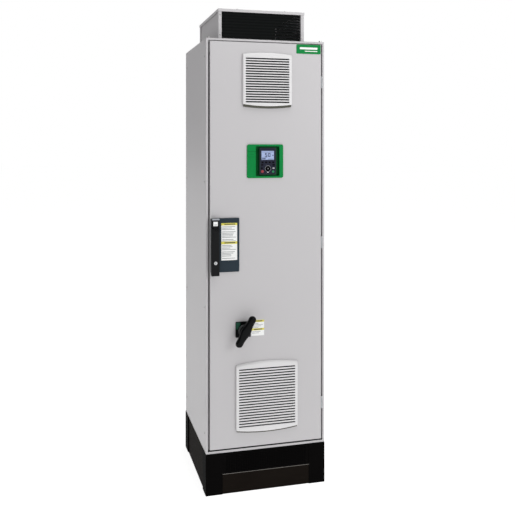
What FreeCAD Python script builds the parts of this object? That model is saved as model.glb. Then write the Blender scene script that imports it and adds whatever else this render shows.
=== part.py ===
"""Floor-standing variable frequency drive cabinet, as separate named pieces.

Millimetres.  X points right, Y points from the door to the back wall, Z points up.
The origin is the centre of the plinth's footprint, on the floor.
Every size comes from the Dims sheet, through expressions on the objects' own properties.
"""
import FreeCAD, Part
import Sketcher
import math
import os
import re

DIMENSIONS = [
    ("cab_w", 600, "cabinet width"),
    ("cab_d", 600, "cabinet depth without the door"),
    ("cab_top", 2200, "height of the roof above the floor"),
    ("plinth_h", 200, "plinth height"),
    ("corner_w", 83, "side of a plinth corner block"),
    ("corner_proud", 2, "how far the corner blocks stand out from the cabinet"),
    ("corner_wall", 4, "wall of a corner block"),
    ("corner_plate", 6, "foot plate and head plate of a corner block"),
    ("anchor_pitch", 530, "floor anchor spacing, both ways"),
    ("anchor_r", 7, "floor anchor hole radius"),
    ("plinth_inset", 3, "plinth panels behind the cabinet face"),
    ("plinth_split", 97, "joint between lower and upper plinth front panels"),
    ("panel_gap", 1, "gap round a screwed panel"),
    ("sheet_t", 1.5, "sheet metal"),
    ("strip_w", 12, "frame strip left visible beside a side panel"),
    ("reveal", 6, "frame strip left visible above and below a side panel"),
    ("rim_w", 9, "frame rim beside the door"),
    ("rim_low", 11, "frame rim under the door"),
    ("rim_high", 10, "frame rim over the door, with the roof sheet"),
    ("rim_depth", 20, "depth of the channel that the door folds into"),
    ("tube_w", 40, "frame tube"),
    ("tube_wall", 2, "frame tube wall"),
    ("ring_h", 62, "height of the bottom and top frame rings"),
    ("screw_r", 2.5, "panel screw shank radius"),
    ("screw_head_r", 5, "panel screw head radius"),
    ("screw_low", 290, "lowest panel screw"),
    ("screw_pitch", 608, "panel screw pitch"),
    ("screw_side_y", 262, "panel screws on the sides, from the centre"),
    ("screw_back_x", 274, "panel screws on the back, from the centre"),
    ("hood_w", 444, "roof hood width over its posts"),
    ("hood_front", -216, "front face of the hood posts"),
    ("hood_back", 295, "back face of the hood posts"),
    ("hood_post", 16, "hood post section"),
    ("hood_top", 2360, "top of the hood"),
    ("hood_rail_h", 12, "hood base rail height"),
    ("hood_lip", 14, "lip of the hood cover"),
    ("hood_skin", 2, "hood cover sheet"),
    ("hood_bolt_x", 124, "bolts on the hood cover, from the centre"),
    ("slat_pitch", 15, "pitch of the hood louvres"),
    ("slat_w", 22, "width of a hood louvre"),
    ("slat_back", 21, "louvre row behind the hood post face"),
    ("door_gap", 9, "gap between door edge and frame rim"),
    ("door_gap_top", 5, "gap over the door"),
    ("door_proud", 6, "door skin in front of the frame face"),
    ("fold_depth", 20, "depth of the folded door edge"),
    ("flange_w", 12, "return flange of the door edge"),
    ("gasket_t", 5.8, "door gasket thickness"),
    ("hinge_x", 286.5, "door hinge axis"),
    ("hinge_y", -300, "door hinge axis"),
    ("pin_r", 3, "hinge pin radius"),
    ("knuckle_r", 4.2, "hinge knuckle radius"),
    ("knuckle_len", 15, "length of one frame knuckle"),
    ("knuckle_mid", 30, "length left for the door knuckle"),
    ("leaf_t", 4, "hinge leaf thickness"),
    ("hinge_low", 400, "lowest hinge"),
    ("hinge_pitch", 800, "hinge pitch"),
    ("fit_gap", 0.3, "gap between neighbours that move"),
    ("run_gap", 0.05, "radial clearance of a running fit"),
    ("stiff_w", 24, "door stiffener width"),
    ("stiff_t", 16, "door stiffener depth"),
    ("stiff_left", -224, "left door stiffener centre"),
    ("stiff_right", 248, "right door stiffener centre"),
    ("sign_w", 127, "name plate width"),
    ("sign_h", 46, "name plate height"),
    ("sign_x", 216, "name plate centre"),
    ("sign_z", 2161, "name plate centre"),
    ("sign_t", 1.5, "name plate thickness"),
    ("grille_hi_x", 2, "upper grille centre"),
    ("grille_hi_z", 2000, "upper grille centre"),
    ("grille_hi_w", 248, "upper grille width"),
    ("grille_hi_h", 257, "upper grille height at its corners"),
    ("grille_hi_bow", 8, "rise of the upper grille's curved edges"),
    ("grille_hi_slots", 18, "upper grille slots"),
    ("grille_hi_pitch", 12.4, "upper grille slot pitch"),
    ("grille_lo_x", 0.5, "lower grille centre"),
    ("grille_lo_z", 459.5, "lower grille centre"),
    ("grille_lo_w", 311, "lower grille width"),
    ("grille_lo_h", 323, "lower grille height at its corners"),
    ("grille_lo_bow", 11, "rise of the lower grille's curved edges"),
    ("grille_lo_slots", 22, "lower grille slots"),
    ("grille_lo_pitch", 13.1, "lower grille slot pitch"),
    ("grille_t", 12, "grille thickness in front of the door"),
    ("grille_edge", 13, "solid margin beside the slots"),
    ("slot_h", 7, "slot height"),
    ("filter_hi", 223, "upper filter housing, square"),
    ("filter_lo", 290, "lower filter housing, square"),
    ("filter_wall", 2, "filter housing wall"),
    ("filter_hi_depth", 32, "upper filter housing depth behind the door skin"),
    ("filter_lo_depth", 42, "lower filter housing depth behind the door skin"),
    ("mat_t", 16, "filter mat thickness"),
    ("fan_w", 220, "door fan frame, square"),
    ("fan_depth", 52, "door fan frame depth"),
    ("fan_bore_r", 100, "door fan bore radius"),
    ("fan_motor_r", 38, "door fan motor radius"),
    ("fan_tip_r", 96, "door fan blade tip radius"),
    ("fan_shaft_r", 5, "shaft radius of both fans"),
    ("hmi_x", -8.5, "operator panel bezel centre"),
    ("hmi_z", 1606, "operator panel bezel centre"),
    ("hmi_w", 183, "bezel width"),
    ("hmi_h", 164, "bezel height"),
    ("hmi_t", 5, "bezel thickness in front of the door"),
    ("hmi_round", 10, "bezel corner radius"),
    ("well_x", 4, "pocket and keypad centre"),
    ("well_w", 120, "pocket width"),
    ("well_h", 146, "pocket height"),
    ("well_depth", 14, "pocket depth behind the door face"),
    ("well_wall", 2, "pocket wall"),
    ("pad_w", 84, "keypad width"),
    ("pad_low", 1541, "bottom of the keypad"),
    ("pad_high", 1672, "top of the keypad"),
    ("pad_z", 1605, "level that the keys are placed from"),
    ("pad_proud", 8, "keypad face in front of the door face"),
    ("screen_w", 68, "screen recess width"),
    ("screen_h", 45, "screen recess height"),
    ("screen_z", 1635, "screen centre"),
    ("screen_deep", 1, "screen recess depth"),
    ("key_travel", 1, "key travel"),
    ("key_proud", 1.4, "key face in front of the keypad"),
    ("key_depth", 5, "depth of a key's hole"),
    ("key_gap", 0.25, "gap round a key"),
    ("lock_x", -261, "lever lock centre line"),
    ("lock_hub_z", 1310, "lock turning axis"),
    ("lock_hub_h", 40, "lock hub height"),
    ("lock_plate_left", -280, "lock plate"),
    ("lock_plate_right", -139, "lock plate"),
    ("lock_plate_low", 1073, "lock plate"),
    ("lock_plate_high", 1333, "lock plate"),
    ("lock_plate_t", 6, "lock plate thickness"),
    ("lever_w", 37.5, "lever width"),
    ("lever_t", 24, "lever thickness"),
    ("lever_low", 1060, "bottom of the lever"),
    ("lever_pivot_z", 1279, "lever lifting axis"),
    ("lever_clear", 4, "space between lever and lock plate"),
    ("lock_shaft_r", 10, "lock shaft radius"),
    ("lock_cam_r", 18, "lock cam radius"),
    ("lock_cyl_z", 1122, "key cylinder"),
    ("lock_cyl_r", 8, "key cylinder radius"),
    ("rod_w", 12, "locking rod width"),
    ("rod_t", 4, "locking rod thickness"),
    ("rod_travel", 22, "locking rod travel"),
    ("rod_end", 25, "rod ends from the door's top and bottom edges"),
    ("rod_skin_gap", 5.5, "locking rods behind the door skin"),
    ("switch_x", -119, "isolator axis"),
    ("switch_z", 791, "isolator axis"),
    ("switch_face_w", 76, "isolator face plate, square"),
    ("switch_face_t", 4, "isolator face plate thickness"),
    ("grip_tilt", 30, "isolator grip from upright, clockwise, in degrees"),
    ("grip_long", 65, "isolator grip, axis to the upper lobe"),
    ("grip_short", 63, "isolator grip, axis to the lower lobe"),
    ("grip_r", 17, "isolator grip lobe radius"),
    ("grip_neck", 30, "isolator grip width beside the hub"),
    ("grip_t", 26, "isolator grip thickness"),
    ("grip_hub_r", 28, "isolator hub radius"),
    ("grip_front", 68, "front of the isolator grip from the door face"),
    ("boss_r", 11, "isolator coupling radius"),
    ("shaft_w", 12, "isolator shaft, square"),
    ("shaft_tip", -300, "door end of the isolator shaft"),
    ("shaft_hub_r", 12, "isolator shaft collar radius"),
    ("rail_w", 30, "mounting rail section"),
    ("rail_y", 64, "front face of the mounting rails"),
    ("plate_t", 2.5, "mounting plate"),
    ("plate_low", 540, "bottom of the equipment plate"),
    ("duct_w", 380, "cooling duct width"),
    ("duct_back", 258, "back of the cooling duct"),
    ("module_low", 880, "bottom of the power module"),
    ("module_top", 1720, "top of the power module"),
    ("module_front", -60, "front of the power module"),
    ("window_w", 240, "opening behind the power module, for its semiconductors"),
    ("window_low", 1150, "bottom of that opening"),
    ("window_high", 1450, "top of that opening"),
    ("vent_run", 294, "width over the pitch of the cover's slots"),
    ("vent_w", 6, "width of a slot in the cover"),
    ("vent_h", 70, "height of a slot in the cover"),
    ("fin_count", 22, "heatsink fins"),
    ("fin_t", 3, "heatsink fin thickness"),
    ("fin_depth", 130, "heatsink fin depth"),
    ("sink_w", 352, "heatsink width"),
    ("sink_base", 16, "heatsink base thickness"),
    ("duct_fan_r", 90, "duct fan tip radius"),
    ("duct_fan_z", 820, "duct fan centre"),
    ("control_w", 220, "control unit width"),
    ("control_t", 48, "control unit depth"),
    ("control_low", 1180, "bottom of the control unit"),
    ("control_top", 1560, "top of the control unit"),
    ("breaker_w", 190, "main switch width"),
    ("breaker_h", 160, "main switch height"),
    ("breaker_front", -60, "front of the main switch"),
    ("bar_w", 30, "busbar width"),
    ("bar_t", 6, "busbar thickness"),
    ("bar_y", 4, "front of the busbars at the fuses"),
    ("bar_low", 620, "bottom of the busbars at the fuses"),
    ("earth_w", 400, "earth bar length"),
    ("earth_y", 20, "front of the earth bar"),
    ("earth_z", 568, "earth bar centre"),
    ("fuse_first", 50, "left fuse"),
    ("fuse_pitch", 70, "fuse pitch"),
    ("fuse_w", 46, "fuse body, square"),
    ("fuse_low", 700, "bottom of the fuse bodies"),
    ("fuse_high", 775, "top of the fuse bodies"),
    ("blade_len", 24, "fuse blade length at each end"),
    ("strip_left", -240, "left end of the terminal rail"),
    ("strip_long", 220, "length of the terminal rail"),
    ("strip_z", 619.5, "terminal rail centre"),
    ("clamp_pitch", 13, "terminal pitch"),
    ("clamp_w", 11.5, "terminal width"),
    ("clamp_h", 51, "terminal height"),
    ("choke_w", 300, "line choke core width"),
    ("choke_low", 285, "bottom of the line choke core"),
    ("choke_h", 210, "line choke core height"),
    ("choke_front", -110, "front of the line choke core"),
    ("choke_d", 110, "line choke core depth"),
    ("yoke_h", 40, "line choke yoke height"),
    ("coil_side", 16, "winding thickness beside a limb"),
    ("coil_deep", 22, "winding thickness in front of the core"),
    ("gland_r", 30, "power cable gland thread radius"),
    ("gland_bore", 21, "power cable gland bore radius"),
    ("gland_y", -190, "row of glands"),
    ("gland_pitch", 120, "gland pitch"),
    ("gland_plate_t", 2, "gland plate thickness"),
]
DIMS = {name: value for name, value, meaning in DIMENSIONS}

doc = FreeCAD.newDocument("DriveCabinet")
sheet = doc.addObject("Spreadsheet::Sheet", "Dims")
NODES = []

# Faces that many pieces share, as expressions in the sheet's names.
SIDE = "cab_w/2"
FRONT = "-cab_d/2"
BACK = "cab_d/2"
PANEL_IN = "cab_w/2 - sheet_t"
RING_LOW_TOP = "plinth_h + ring_h"
ROOF_IN = "cab_top - sheet_t"
RING_HIGH_LOW = "cab_top - sheet_t - ring_h"
CHANNEL = "-cab_d/2 + rim_depth"
FACE = "-cab_d/2 - door_proud"
SKIN_IN = "-cab_d/2 - door_proud + sheet_t"
DOOR_SIDE = "cab_w/2 - rim_w - door_gap"
DOOR_LOW = "plinth_h + rim_low + door_gap"
DOOR_TOP = "cab_top - rim_high - door_gap_top"
FOLD_IN = "-cab_d/2 - door_proud + fold_depth"
DUCT_SIDE = "duct_w/2"
DUCT_MIDDLE = "(rail_y + duct_back)/2"
PLATE_FACE = "rail_y - plate_t"
LEVER_BACK = "-cab_d/2 - door_proud - lock_plate_t - lever_clear"
TURN_TO = {"X": ((0, 1, 0), 90), "Y": ((1, 0, 0), -90), "Z": ((0, 0, 1), 0)}


def fill_sheet():
    """Write each driving dimension as text, with its meaning beside it."""
    for row, (name, value, meaning) in enumerate(DIMENSIONS, start=1):
        sheet.set(f"A{row}", meaning)
        sheet.set(f"B{row}", str(value))
        sheet.setAlias(f"B{row}", name)
    doc.recompute()


def words(text):
    """Point every dimension name in an expression at its cell."""
    def cell(match):
        word = match.group(0)
        return f"Dims.{word}" if word in DIMS else word
    return re.sub(r"[a-z][a-z_0-9]*", cell, str(text))


def bind(thing, prop, text):
    thing.setExpression(prop, words(text))


def place(thing, x, y, z):
    for letter, text in zip("xyz", (x, y, z)):
        bind(thing, f"Placement.Base.{letter}", text)


def number(text):
    """The value of an expression now, for a sketch's first guess."""
    return float(sheet.evalExpression(words(text)))


def around(centre, width):
    """The low and high end of a width about a centre."""
    return f"({centre}) - ({width})/2", f"({centre}) + ({width})/2"


def sided(side, low, high):
    """A span measured outwards from the middle plane, on the left (-1) or right (1)."""
    if side > 0:
        return low, high
    return f"-({high})", f"-({low})"


def box(x, y, z):
    """A block between low and high in each direction."""
    made = doc.addObject("Part::Box", "Block")
    for prop, (low, high) in zip(("Length", "Width", "Height"), (x, y, z)):
        bind(made, prop, f"({high}) - ({low})")
    place(made, x[0], y[0], z[0])
    return made


def rod(axis, radius, span, centre):
    """A cylinder along an axis; centre gives the two other coordinates in order."""
    made = doc.addObject("Part::Cylinder", "Rod")
    turn_axis, angle = TURN_TO[axis]
    made.Placement = FreeCAD.Placement(FreeCAD.Vector(), FreeCAD.Rotation(FreeCAD.Vector(turn_axis), angle))
    bind(made, "Radius", radius)
    bind(made, "Height", f"({span[1]}) - ({span[0]})")
    place_on = list(centre)
    place_on.insert("XYZ".index(axis), span[0])
    place(made, *place_on)
    return made


def hexagon(radius, span, x, y):
    """A six-sided prism along Z."""
    made = doc.addObject("Part::Prism", "Hexagon")
    made.Polygon = 6
    bind(made, "Circumradius", radius)
    bind(made, "Height", f"({span[1]}) - ({span[0]})")
    place(made, x, y, span[0])
    return made


def slab(length, width, thickness, centre, turn_axis, angle):
    """A thin block about its own centre, turned about an axis through that centre."""
    made = doc.addObject("Part::Box", "Slab")
    turn = FreeCAD.Rotation(FreeCAD.Vector(turn_axis), angle)
    sizes = [number(text) for text in (length, width, thickness)]
    corner = turn.multVec(FreeCAD.Vector(*sizes) * -0.5)
    made.Placement = FreeCAD.Placement(FreeCAD.Vector(), turn)
    for prop, text in zip(("Length", "Width", "Height"), (length, width, thickness)):
        bind(made, prop, text)
    place(made, *[f"({text}) + {shift:.4f}" for text, shift in zip(centre, corner)])
    return made


def fuse(*pieces):
    made = doc.addObject("Part::MultiFuse", "Fused")
    made.Shapes = list(pieces)
    return made


def group(*pieces):
    """Separate solids that share one node."""
    made = doc.addObject("Part::Compound", "Group")
    made.Links = list(pieces)
    return made


def cut(base, *tools):
    made = doc.addObject("Part::Cut", "Cut")
    made.Base = base
    made.Tool = tools[0] if len(tools) == 1 else fuse(*tools)
    return made


def mirrored(source):
    """The same piece on the other side of the middle plane."""
    made = doc.addObject("Part::Mirroring", "Mirrored")
    made.Source = source
    made.Normal = FreeCAD.Vector(1, 0, 0)
    return made


def node(label, thing):
    thing.Label = label
    NODES.append(thing)
    return thing


def new_body():
    return doc.addObject("PartDesign::Body", "Body")


def sketch_on(body, plane, offset, outlines, bows=None):
    """A sketch of closed outlines; a bow makes edge i of the first one an arc of that radius."""
    made = body.newObject("Sketcher::SketchObject", "Sketch")
    face = [feature for feature in body.Origin.OriginFeatures if feature.Role == plane][0]
    made.AttachmentSupport = [(face, "")]
    made.MapMode = "FlatFace"
    bind(made, "AttachmentOffset.Base.z", offset)
    for outline in outlines:
        draw_outline(made, outline, bows or {})
        bows = None
    return made


def draw_outline(sketch, outline, bows):
    """Straight or bowed edges between corners that are tied to the sheet."""
    corners = [FreeCAD.Vector(number(u), number(v), 0) for u, v in outline]
    first = sketch.GeometryCount
    total = len(corners)
    for index, corner in enumerate(corners):
        after = corners[(index + 1) % total]
        if index in bows:
            sketch.addGeometry(bowed_edge(corner, after, number(bows[index])), False)
        else:
            sketch.addGeometry(Part.LineSegment(corner, after), False)
    for index in range(total):
        here, after = first + index, first + (index + 1) % total
        sketch.addConstraint(Sketcher.Constraint("Coincident", here, 2, after, 1))
        if index in bows:
            rule = sketch.addConstraint(Sketcher.Constraint("Radius", here, number(bows[index])))
            sketch.setExpression(f"Constraints[{rule}]", words(bows[index]))
    for index, (u, v) in enumerate(outline):
        for kind, text, value in (("DistanceX", u, corners[index].x), ("DistanceY", v, corners[index].y)):
            rule = sketch.addConstraint(Sketcher.Constraint(kind, -1, 1, first + index, 1, value))
            sketch.setExpression(f"Constraints[{rule}]", words(text))


def bowed_edge(start, end, radius):
    """An arc counter-clockwise from start to end, which bulges to the right of that way."""
    half = (end - start) * 0.5
    inward = FreeCAD.Vector(-half.y, half.x, 0).normalize()
    reach = math.sqrt(radius ** 2 - half.Length ** 2)
    centre = start + half + inward * reach
    angles = [math.atan2(point.y - centre.y, point.x - centre.x) for point in (start, end)]
    circle = Part.Circle(centre, FreeCAD.Vector(0, 0, 1), radius)
    return Part.ArcOfCircle(circle, angles[0], angles[1])


def pad(body, sketch, length):
    made = body.newObject("PartDesign::Pad", "Pad")
    made.Profile = sketch
    bind(made, "Length", length)
    return made


def pocket(body, sketch, length):
    """Cut against the sketch's normal, into the solid behind its face."""
    made = body.newObject("PartDesign::Pocket", "Pocket")
    made.Profile = sketch
    bind(made, "Length", length)
    return made


def pattern(body, feature, sketch, across, up):
    """Repeat a feature: across and up are (count, whole length) or None."""
    made = body.newObject("PartDesign::LinearPattern", "Pattern")
    made.Originals = [feature]
    ways = [("H_Axis", across), ("V_Axis", up)]
    for suffix, (axis, rule) in zip(("", "2"), [way for way in ways if way[1]]):
        setattr(made, f"Direction{suffix}", (sketch, [axis]))
        bind(made, f"Occurrences{suffix}", rule[0])
        bind(made, f"Length{suffix}", rule[1])
    body.Tip = made
    return made


def round_edges(body, feature, radius, along):
    """Fillet every straight edge of a feature that runs along one axis."""
    doc.recompute()
    names = []
    for index, edge in enumerate(feature.Shape.Edges, start=1):
        way = edge.tangentAt(edge.FirstParameter)
        if edge.Curve.TypeId == "Part::GeomLine" and abs(way.dot(FreeCAD.Vector(along))) > 0.999:
            names.append(f"Edge{index}")
    made = body.newObject("PartDesign::Fillet", "Fillet")
    made.Base = (feature, names)
    bind(made, "Radius", radius)
    return made


def rectangle(u, v):
    return [(u[0], v[0]), (u[1], v[0]), (u[1], v[1]), (u[0], v[1])]


# ---------------------------------------------------------------- plinth

def plinth_corners():
    """Four folded corner blocks with a foot plate for the floor anchors."""
    blocks = []
    for side in (-1, 1):
        for end in (-1, 1):
            outer = f"{SIDE} + corner_proud"
            x = sided(side, f"{outer} - corner_w", outer)
            y = sided(end, f"{outer} - corner_w", outer)
            hollow_x = sided(side, f"{outer} - corner_w - 1", f"{outer} - corner_wall")
            hollow_y = sided(end, f"{outer} - corner_w - 1", f"{outer} - corner_wall")
            hollow = box(hollow_x, hollow_y, ("corner_plate", "plinth_h - corner_plate"))
            centre = (f"{side} * anchor_pitch/2", f"{end} * anchor_pitch/2")
            anchor = rod("Z", "anchor_r", ("-1", "plinth_h + 1"), centre)
            blocks.append(cut(box(x, y, ("0", "plinth_h")), hollow, anchor))
    node("plinth_corners", group(*blocks))


def plinth_panels():
    """The plain panels between the corner blocks."""
    inner = f"{SIDE} + corner_proud - corner_w"
    span = (f"-({inner})", inner)
    height = ("plinth_inset", "plinth_h - plinth_inset")
    depth = (f"{SIDE} - plinth_inset - sheet_t", f"{SIDE} - plinth_inset")
    front = box(span, (f"{FRONT}", f"{FRONT} + sheet_t"), ("plinth_inset", "plinth_split - panel_gap/2"))
    lip = box(span, (f"{FRONT} + sheet_t", f"{FRONT} + strip_w"),
              ("plinth_split - panel_gap/2 - sheet_t", "plinth_split - panel_gap/2"))
    sides = [box(sided(side, *depth), span, height) for side in (-1, 1)]
    back = box(span, depth, height)
    node("plinth_panels", group(fuse(front, lip), *sides, back))


def plinth_vent_panel():
    """The upper front plinth panel, perforated in rows for cooling air."""
    inner = f"{SIDE} + corner_proud - corner_w"
    low, high = "plinth_split + panel_gap/2", "plinth_h - panel_gap"
    body = new_body()
    outline = rectangle((f"-({inner})", inner), (low, high))
    pad(body, sketch_on(body, "XZ_Plane", "cab_d/2 - sheet_t", [outline]), "sheet_t")
    hole_w, hole_h, pitch_x, pitch_z = 8, 4, 12, 8
    columns, rows = 34, 11
    left = f"-{pitch_x * (columns - 1) / 2} - {hole_w / 2}"
    first = f"{low} + 9"
    hole = rectangle((left, f"{left} + {hole_w}"), (first, f"{first} + {hole_h}"))
    sketch = sketch_on(body, "XZ_Plane", "cab_d/2", [hole])
    holes = pocket(body, sketch, "sheet_t * 2")
    pattern(body, holes, sketch, (columns, pitch_x * (columns - 1)), (rows, pitch_z * (rows - 1)))
    node("plinth_vent_panel", body)


# ---------------------------------------------------------------- frame and outer panels

def front_upright():
    """Left front post: a box tube with the narrow rim beside the door, open inside."""
    left = f"-({SIDE})"
    tube_back = f"{CHANNEL} + tube_w"
    outer = [
        (left, FRONT),
        (f"{left} + rim_w", FRONT),
        (f"{left} + rim_w", CHANNEL),
        (f"{left} + tube_w", CHANNEL),
        (f"{left} + tube_w", tube_back),
        (f"{left} + sheet_t", tube_back),
        (f"{left} + sheet_t", f"{FRONT} + strip_w"),
        (left, f"{FRONT} + strip_w"),
    ]
    wall_left = f"{left} + sheet_t + tube_wall"
    inner = [
        (wall_left, f"{FRONT} + tube_wall"),
        (f"{left} + rim_w - tube_wall", f"{FRONT} + tube_wall"),
        (f"{left} + rim_w - tube_wall", f"{CHANNEL} + tube_wall"),
        (f"{left} + tube_w - tube_wall", f"{CHANNEL} + tube_wall"),
        (f"{left} + tube_w - tube_wall", f"{tube_back} - tube_wall"),
        (wall_left, f"{tube_back} - tube_wall"),
    ]
    return post(outer, inner)


def back_upright():
    """Left back post: a box tube with the corner strip that the panels stop at."""
    left = f"-({SIDE})"
    outer = [
        (left, f"{BACK} - strip_w"),
        (f"{left} + sheet_t", f"{BACK} - strip_w"),
        (f"{left} + sheet_t", f"{BACK} - tube_w"),
        (f"{left} + tube_w", f"{BACK} - tube_w"),
        (f"{left} + tube_w", f"{BACK} - sheet_t"),
        (f"{left} + strip_w", f"{BACK} - sheet_t"),
        (f"{left} + strip_w", BACK),
        (left, BACK),
    ]
    wall = "sheet_t + tube_wall"
    inner = rectangle(
        (f"{left} + {wall}", f"{left} + tube_w - tube_wall"),
        (f"{BACK} - tube_w + tube_wall", f"{BACK} - {wall.replace(' + ', ' - ')}"),
    )
    return post(outer, inner)


def post(outer, inner):
    """Extrude a post profile between the rings and drill its panel screw holes."""
    body = new_body()
    sketch = sketch_on(body, "XY_Plane", RING_LOW_TOP, [outer, inner])
    pad(body, sketch, f"({RING_HIGH_LOW}) - ({RING_LOW_TOP})")
    return body


def screw_heights():
    return [f"screw_low + {step} * screw_pitch" for step in range(4)]


def screw_holes():
    """One long tool per screw line, through both side walls or the back wall."""
    tools = []
    for height in screw_heights():
        for end in (-1, 1):
            y = f"{end} * screw_side_y"
            for side in (-1, 1):
                span = sided(side, f"{SIDE} - strip_w", f"{SIDE} + 1")
                tools.append(rod("X", "screw_r", span, (y, height)))
            back_span = (f"{BACK} - strip_w", f"{BACK} + 1")
            tools.append(rod("Y", "screw_r", back_span, (f"{end} * screw_back_x", height)))
    return tools


def frame_ring(low, high, open_from, open_to, skin_from, skin_to, rim_from, rim_to):
    """A rectangular ring of C-section with the door channel along its front."""
    edge = (f"-({SIDE})", SIDE)
    ring = box(edge, (FRONT, BACK), (low, high))
    middle = f"{SIDE} - tube_w"
    inside = box((f"-({middle})", middle), (f"-({middle})", middle), (f"{low} - 1", f"{high} + 1"))
    channel = f"{SIDE} - rim_w"
    door_seat = box((f"-({channel})", channel), (f"{FRONT} - 1", CHANNEL), (rim_from, rim_to))
    strip = f"{SIDE} - strip_w"
    long_way = (f"-({strip})", strip)
    outside = (PANEL_IN, f"{SIDE} + 1")
    recesses = [box(sided(side, *outside), long_way, (skin_from, skin_to)) for side in (-1, 1)]
    recesses.append(box(long_way, outside, (skin_from, skin_to)))
    wall = f"{SIDE} - sheet_t - tube_wall"
    core_outer = box((f"-({wall})", wall), (f"{CHANNEL} + tube_wall", wall), (open_from, open_to))
    inner_wall = f"{middle} + tube_wall"
    keep = (f"-({inner_wall})", inner_wall)
    core_inner = box(keep, keep, (f"({open_from}) - 1", f"({open_to}) + 1"))
    return cut(ring, inside, door_seat, *recesses, cut(core_outer, core_inner))


def cabinet_frame():
    """Bottom ring, top ring and four posts, welded in one frame."""
    low_ring = frame_ring("plinth_h", RING_LOW_TOP, "plinth_h - 1", f"{RING_LOW_TOP} - tube_wall * 2",
                          "plinth_h + reveal", f"{RING_LOW_TOP} + 1",
                          "plinth_h + rim_low", f"{RING_LOW_TOP} + 1")
    high_ring = frame_ring(RING_HIGH_LOW, ROOF_IN, f"{RING_HIGH_LOW} + tube_wall * 2", f"{ROOF_IN} + 1",
                           f"{RING_HIGH_LOW} - 1", "cab_top - reveal",
                           f"{RING_HIGH_LOW} - 1", "cab_top - rim_high")
    front_left, back_left = front_upright(), back_upright()
    posts = group(front_left, mirrored(front_left), back_left, mirrored(back_left))
    node("cabinet_frame", group(low_ring, high_ring, cut(posts, *screw_holes())))


def outer_panels():
    """Both side panels and the back panel, drilled for their screws."""
    reach = f"{SIDE} - strip_w - panel_gap"
    height = ("plinth_h + reveal + panel_gap", "cab_top - reveal - panel_gap")
    sheets = [box(sided(side, PANEL_IN, SIDE), (f"-({reach})", reach), height) for side in (-1, 1)]
    sheets.append(box((f"-({reach})", reach), (PANEL_IN, SIDE), height))
    node("outer_panels", cut(group(*sheets), *screw_holes()))


def roof_panel():
    """Roof sheet with the outlet of the cooling duct."""
    edge = (f"-({SIDE})", SIDE)
    outlet = box((f"-({DUCT_SIDE}) + tube_wall * 2", f"{DUCT_SIDE} - tube_wall * 2"),
                 ("rail_y + sink_base", "duct_back - tube_wall * 2"), (f"{ROOF_IN} - 1", "cab_top + 1"))
    node("roof_panel", cut(box(edge, edge, (ROOF_IN, "cab_top")), outlet))


def panel_screw(axis, face, outward, centre):
    """A flat round head outside the sheet and a shank into the post."""
    head = sided(outward, face, f"{face} + corner_proud")
    shank = sided(outward, f"{face} - strip_w + 1", face)
    return fuse(rod(axis, "screw_head_r", head, centre), rod(axis, "screw_r", shank, centre))


def panel_screws():
    """Screws of the side and back panels, hood bolts and roof corner bolts."""
    screws = []
    for height in screw_heights():
        for end in (-1, 1):
            for side in (-1, 1):
                screws.append(panel_screw("X", SIDE, side, (f"{end} * screw_side_y", height)))
            screws.append(panel_screw("Y", BACK, 1, (f"{end} * screw_back_x", height)))
    corner = f"{SIDE} - 15"
    for side in (-1, 1):
        for end in (-1, 1):
            bolt_x, bolt_y = f"{side} * ({corner})", f"{end} * ({corner})"
            screws.append(hexagon("8", ("cab_top", "cab_top + 7"), bolt_x, bolt_y))
        for y in ("hood_front + 14", "hood_back - 14"):
            screws.append(hexagon("6", ("hood_top", "hood_top + 4"), f"{side} * hood_bolt_x", y))
        post_x = f"{side} * (hood_w/2 - hood_post/2)"
        for z in ("cab_top + 30", "cab_top + 130"):
            screws.append(rod("Y", "4", ("hood_front - 1.5", "hood_front"), (post_x, z)))
            screws.append(rod("Y", "4", ("hood_back", "hood_back + 1.5"), (post_x, z)))
    node("panel_screws", group(*screws))


# ---------------------------------------------------------------- roof hood

def hood_frame():
    """Four posts, base rails and the recessed side sheets of the air outlet hood."""
    out, inn = "hood_w/2", "hood_w/2 - hood_post"
    top = "hood_top - hood_skin"
    pieces = []
    for side in (-1, 1):
        for y in (("hood_front", "hood_front + hood_post"), ("hood_back - hood_post", "hood_back")):
            pieces.append(box(sided(side, inn, out), y, ("cab_top", top)))
        along = ("hood_front + hood_post", "hood_back - hood_post")
        pieces.append(box(sided(side, inn, out), along, ("cab_top", "cab_top + hood_rail_h")))
        sheet_x = sided(side, f"{out} - hood_post/2 - sheet_t", f"{out} - hood_post/2")
        pieces.append(box(sheet_x, along, ("cab_top + hood_rail_h", top)))
    for y in (("hood_front", "hood_front + hood_post"), ("hood_back - hood_post", "hood_back")):
        pieces.append(box((f"-({inn})", inn), y, ("cab_top", "cab_top + hood_rail_h")))
    node("hood_frame", fuse(*pieces))


def hood_top_cover():
    """Shallow tray turned over the posts."""
    out = "hood_w/2 + hood_skin"
    front, back = "hood_front - hood_skin", "hood_back + hood_skin"
    tray = box((f"-({out})", out), (front, back), ("hood_top - hood_lip", "hood_top"))
    inner = "hood_w/2"
    space = box((f"-({inner})", inner), ("hood_front", "hood_back"),
                ("hood_top - hood_lip - 1", "hood_top - hood_skin"))
    node("hood_top_cover", cut(tray, space))


def hood_louvres():
    """Slanted blades across the front and back outlets of the hood."""
    count = 9
    blades = []
    length = "hood_w - hood_post * 2"
    for y, lean in (("hood_front + slat_back", 35), ("hood_back - slat_back", -35)):
        for step in range(count):
            z = f"cab_top + hood_rail_h + 10 + {step} * slat_pitch"
            blades.append(slab(length, "slat_w", "sheet_t", ("0", y, z), (1, 0, 0), lean))
    node("hood_louvres", group(*blades))


# ---------------------------------------------------------------- floor of the cabinet

def gland_places():
    return [f"{step} * gland_pitch" for step in (-1, 0, 1)]


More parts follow.
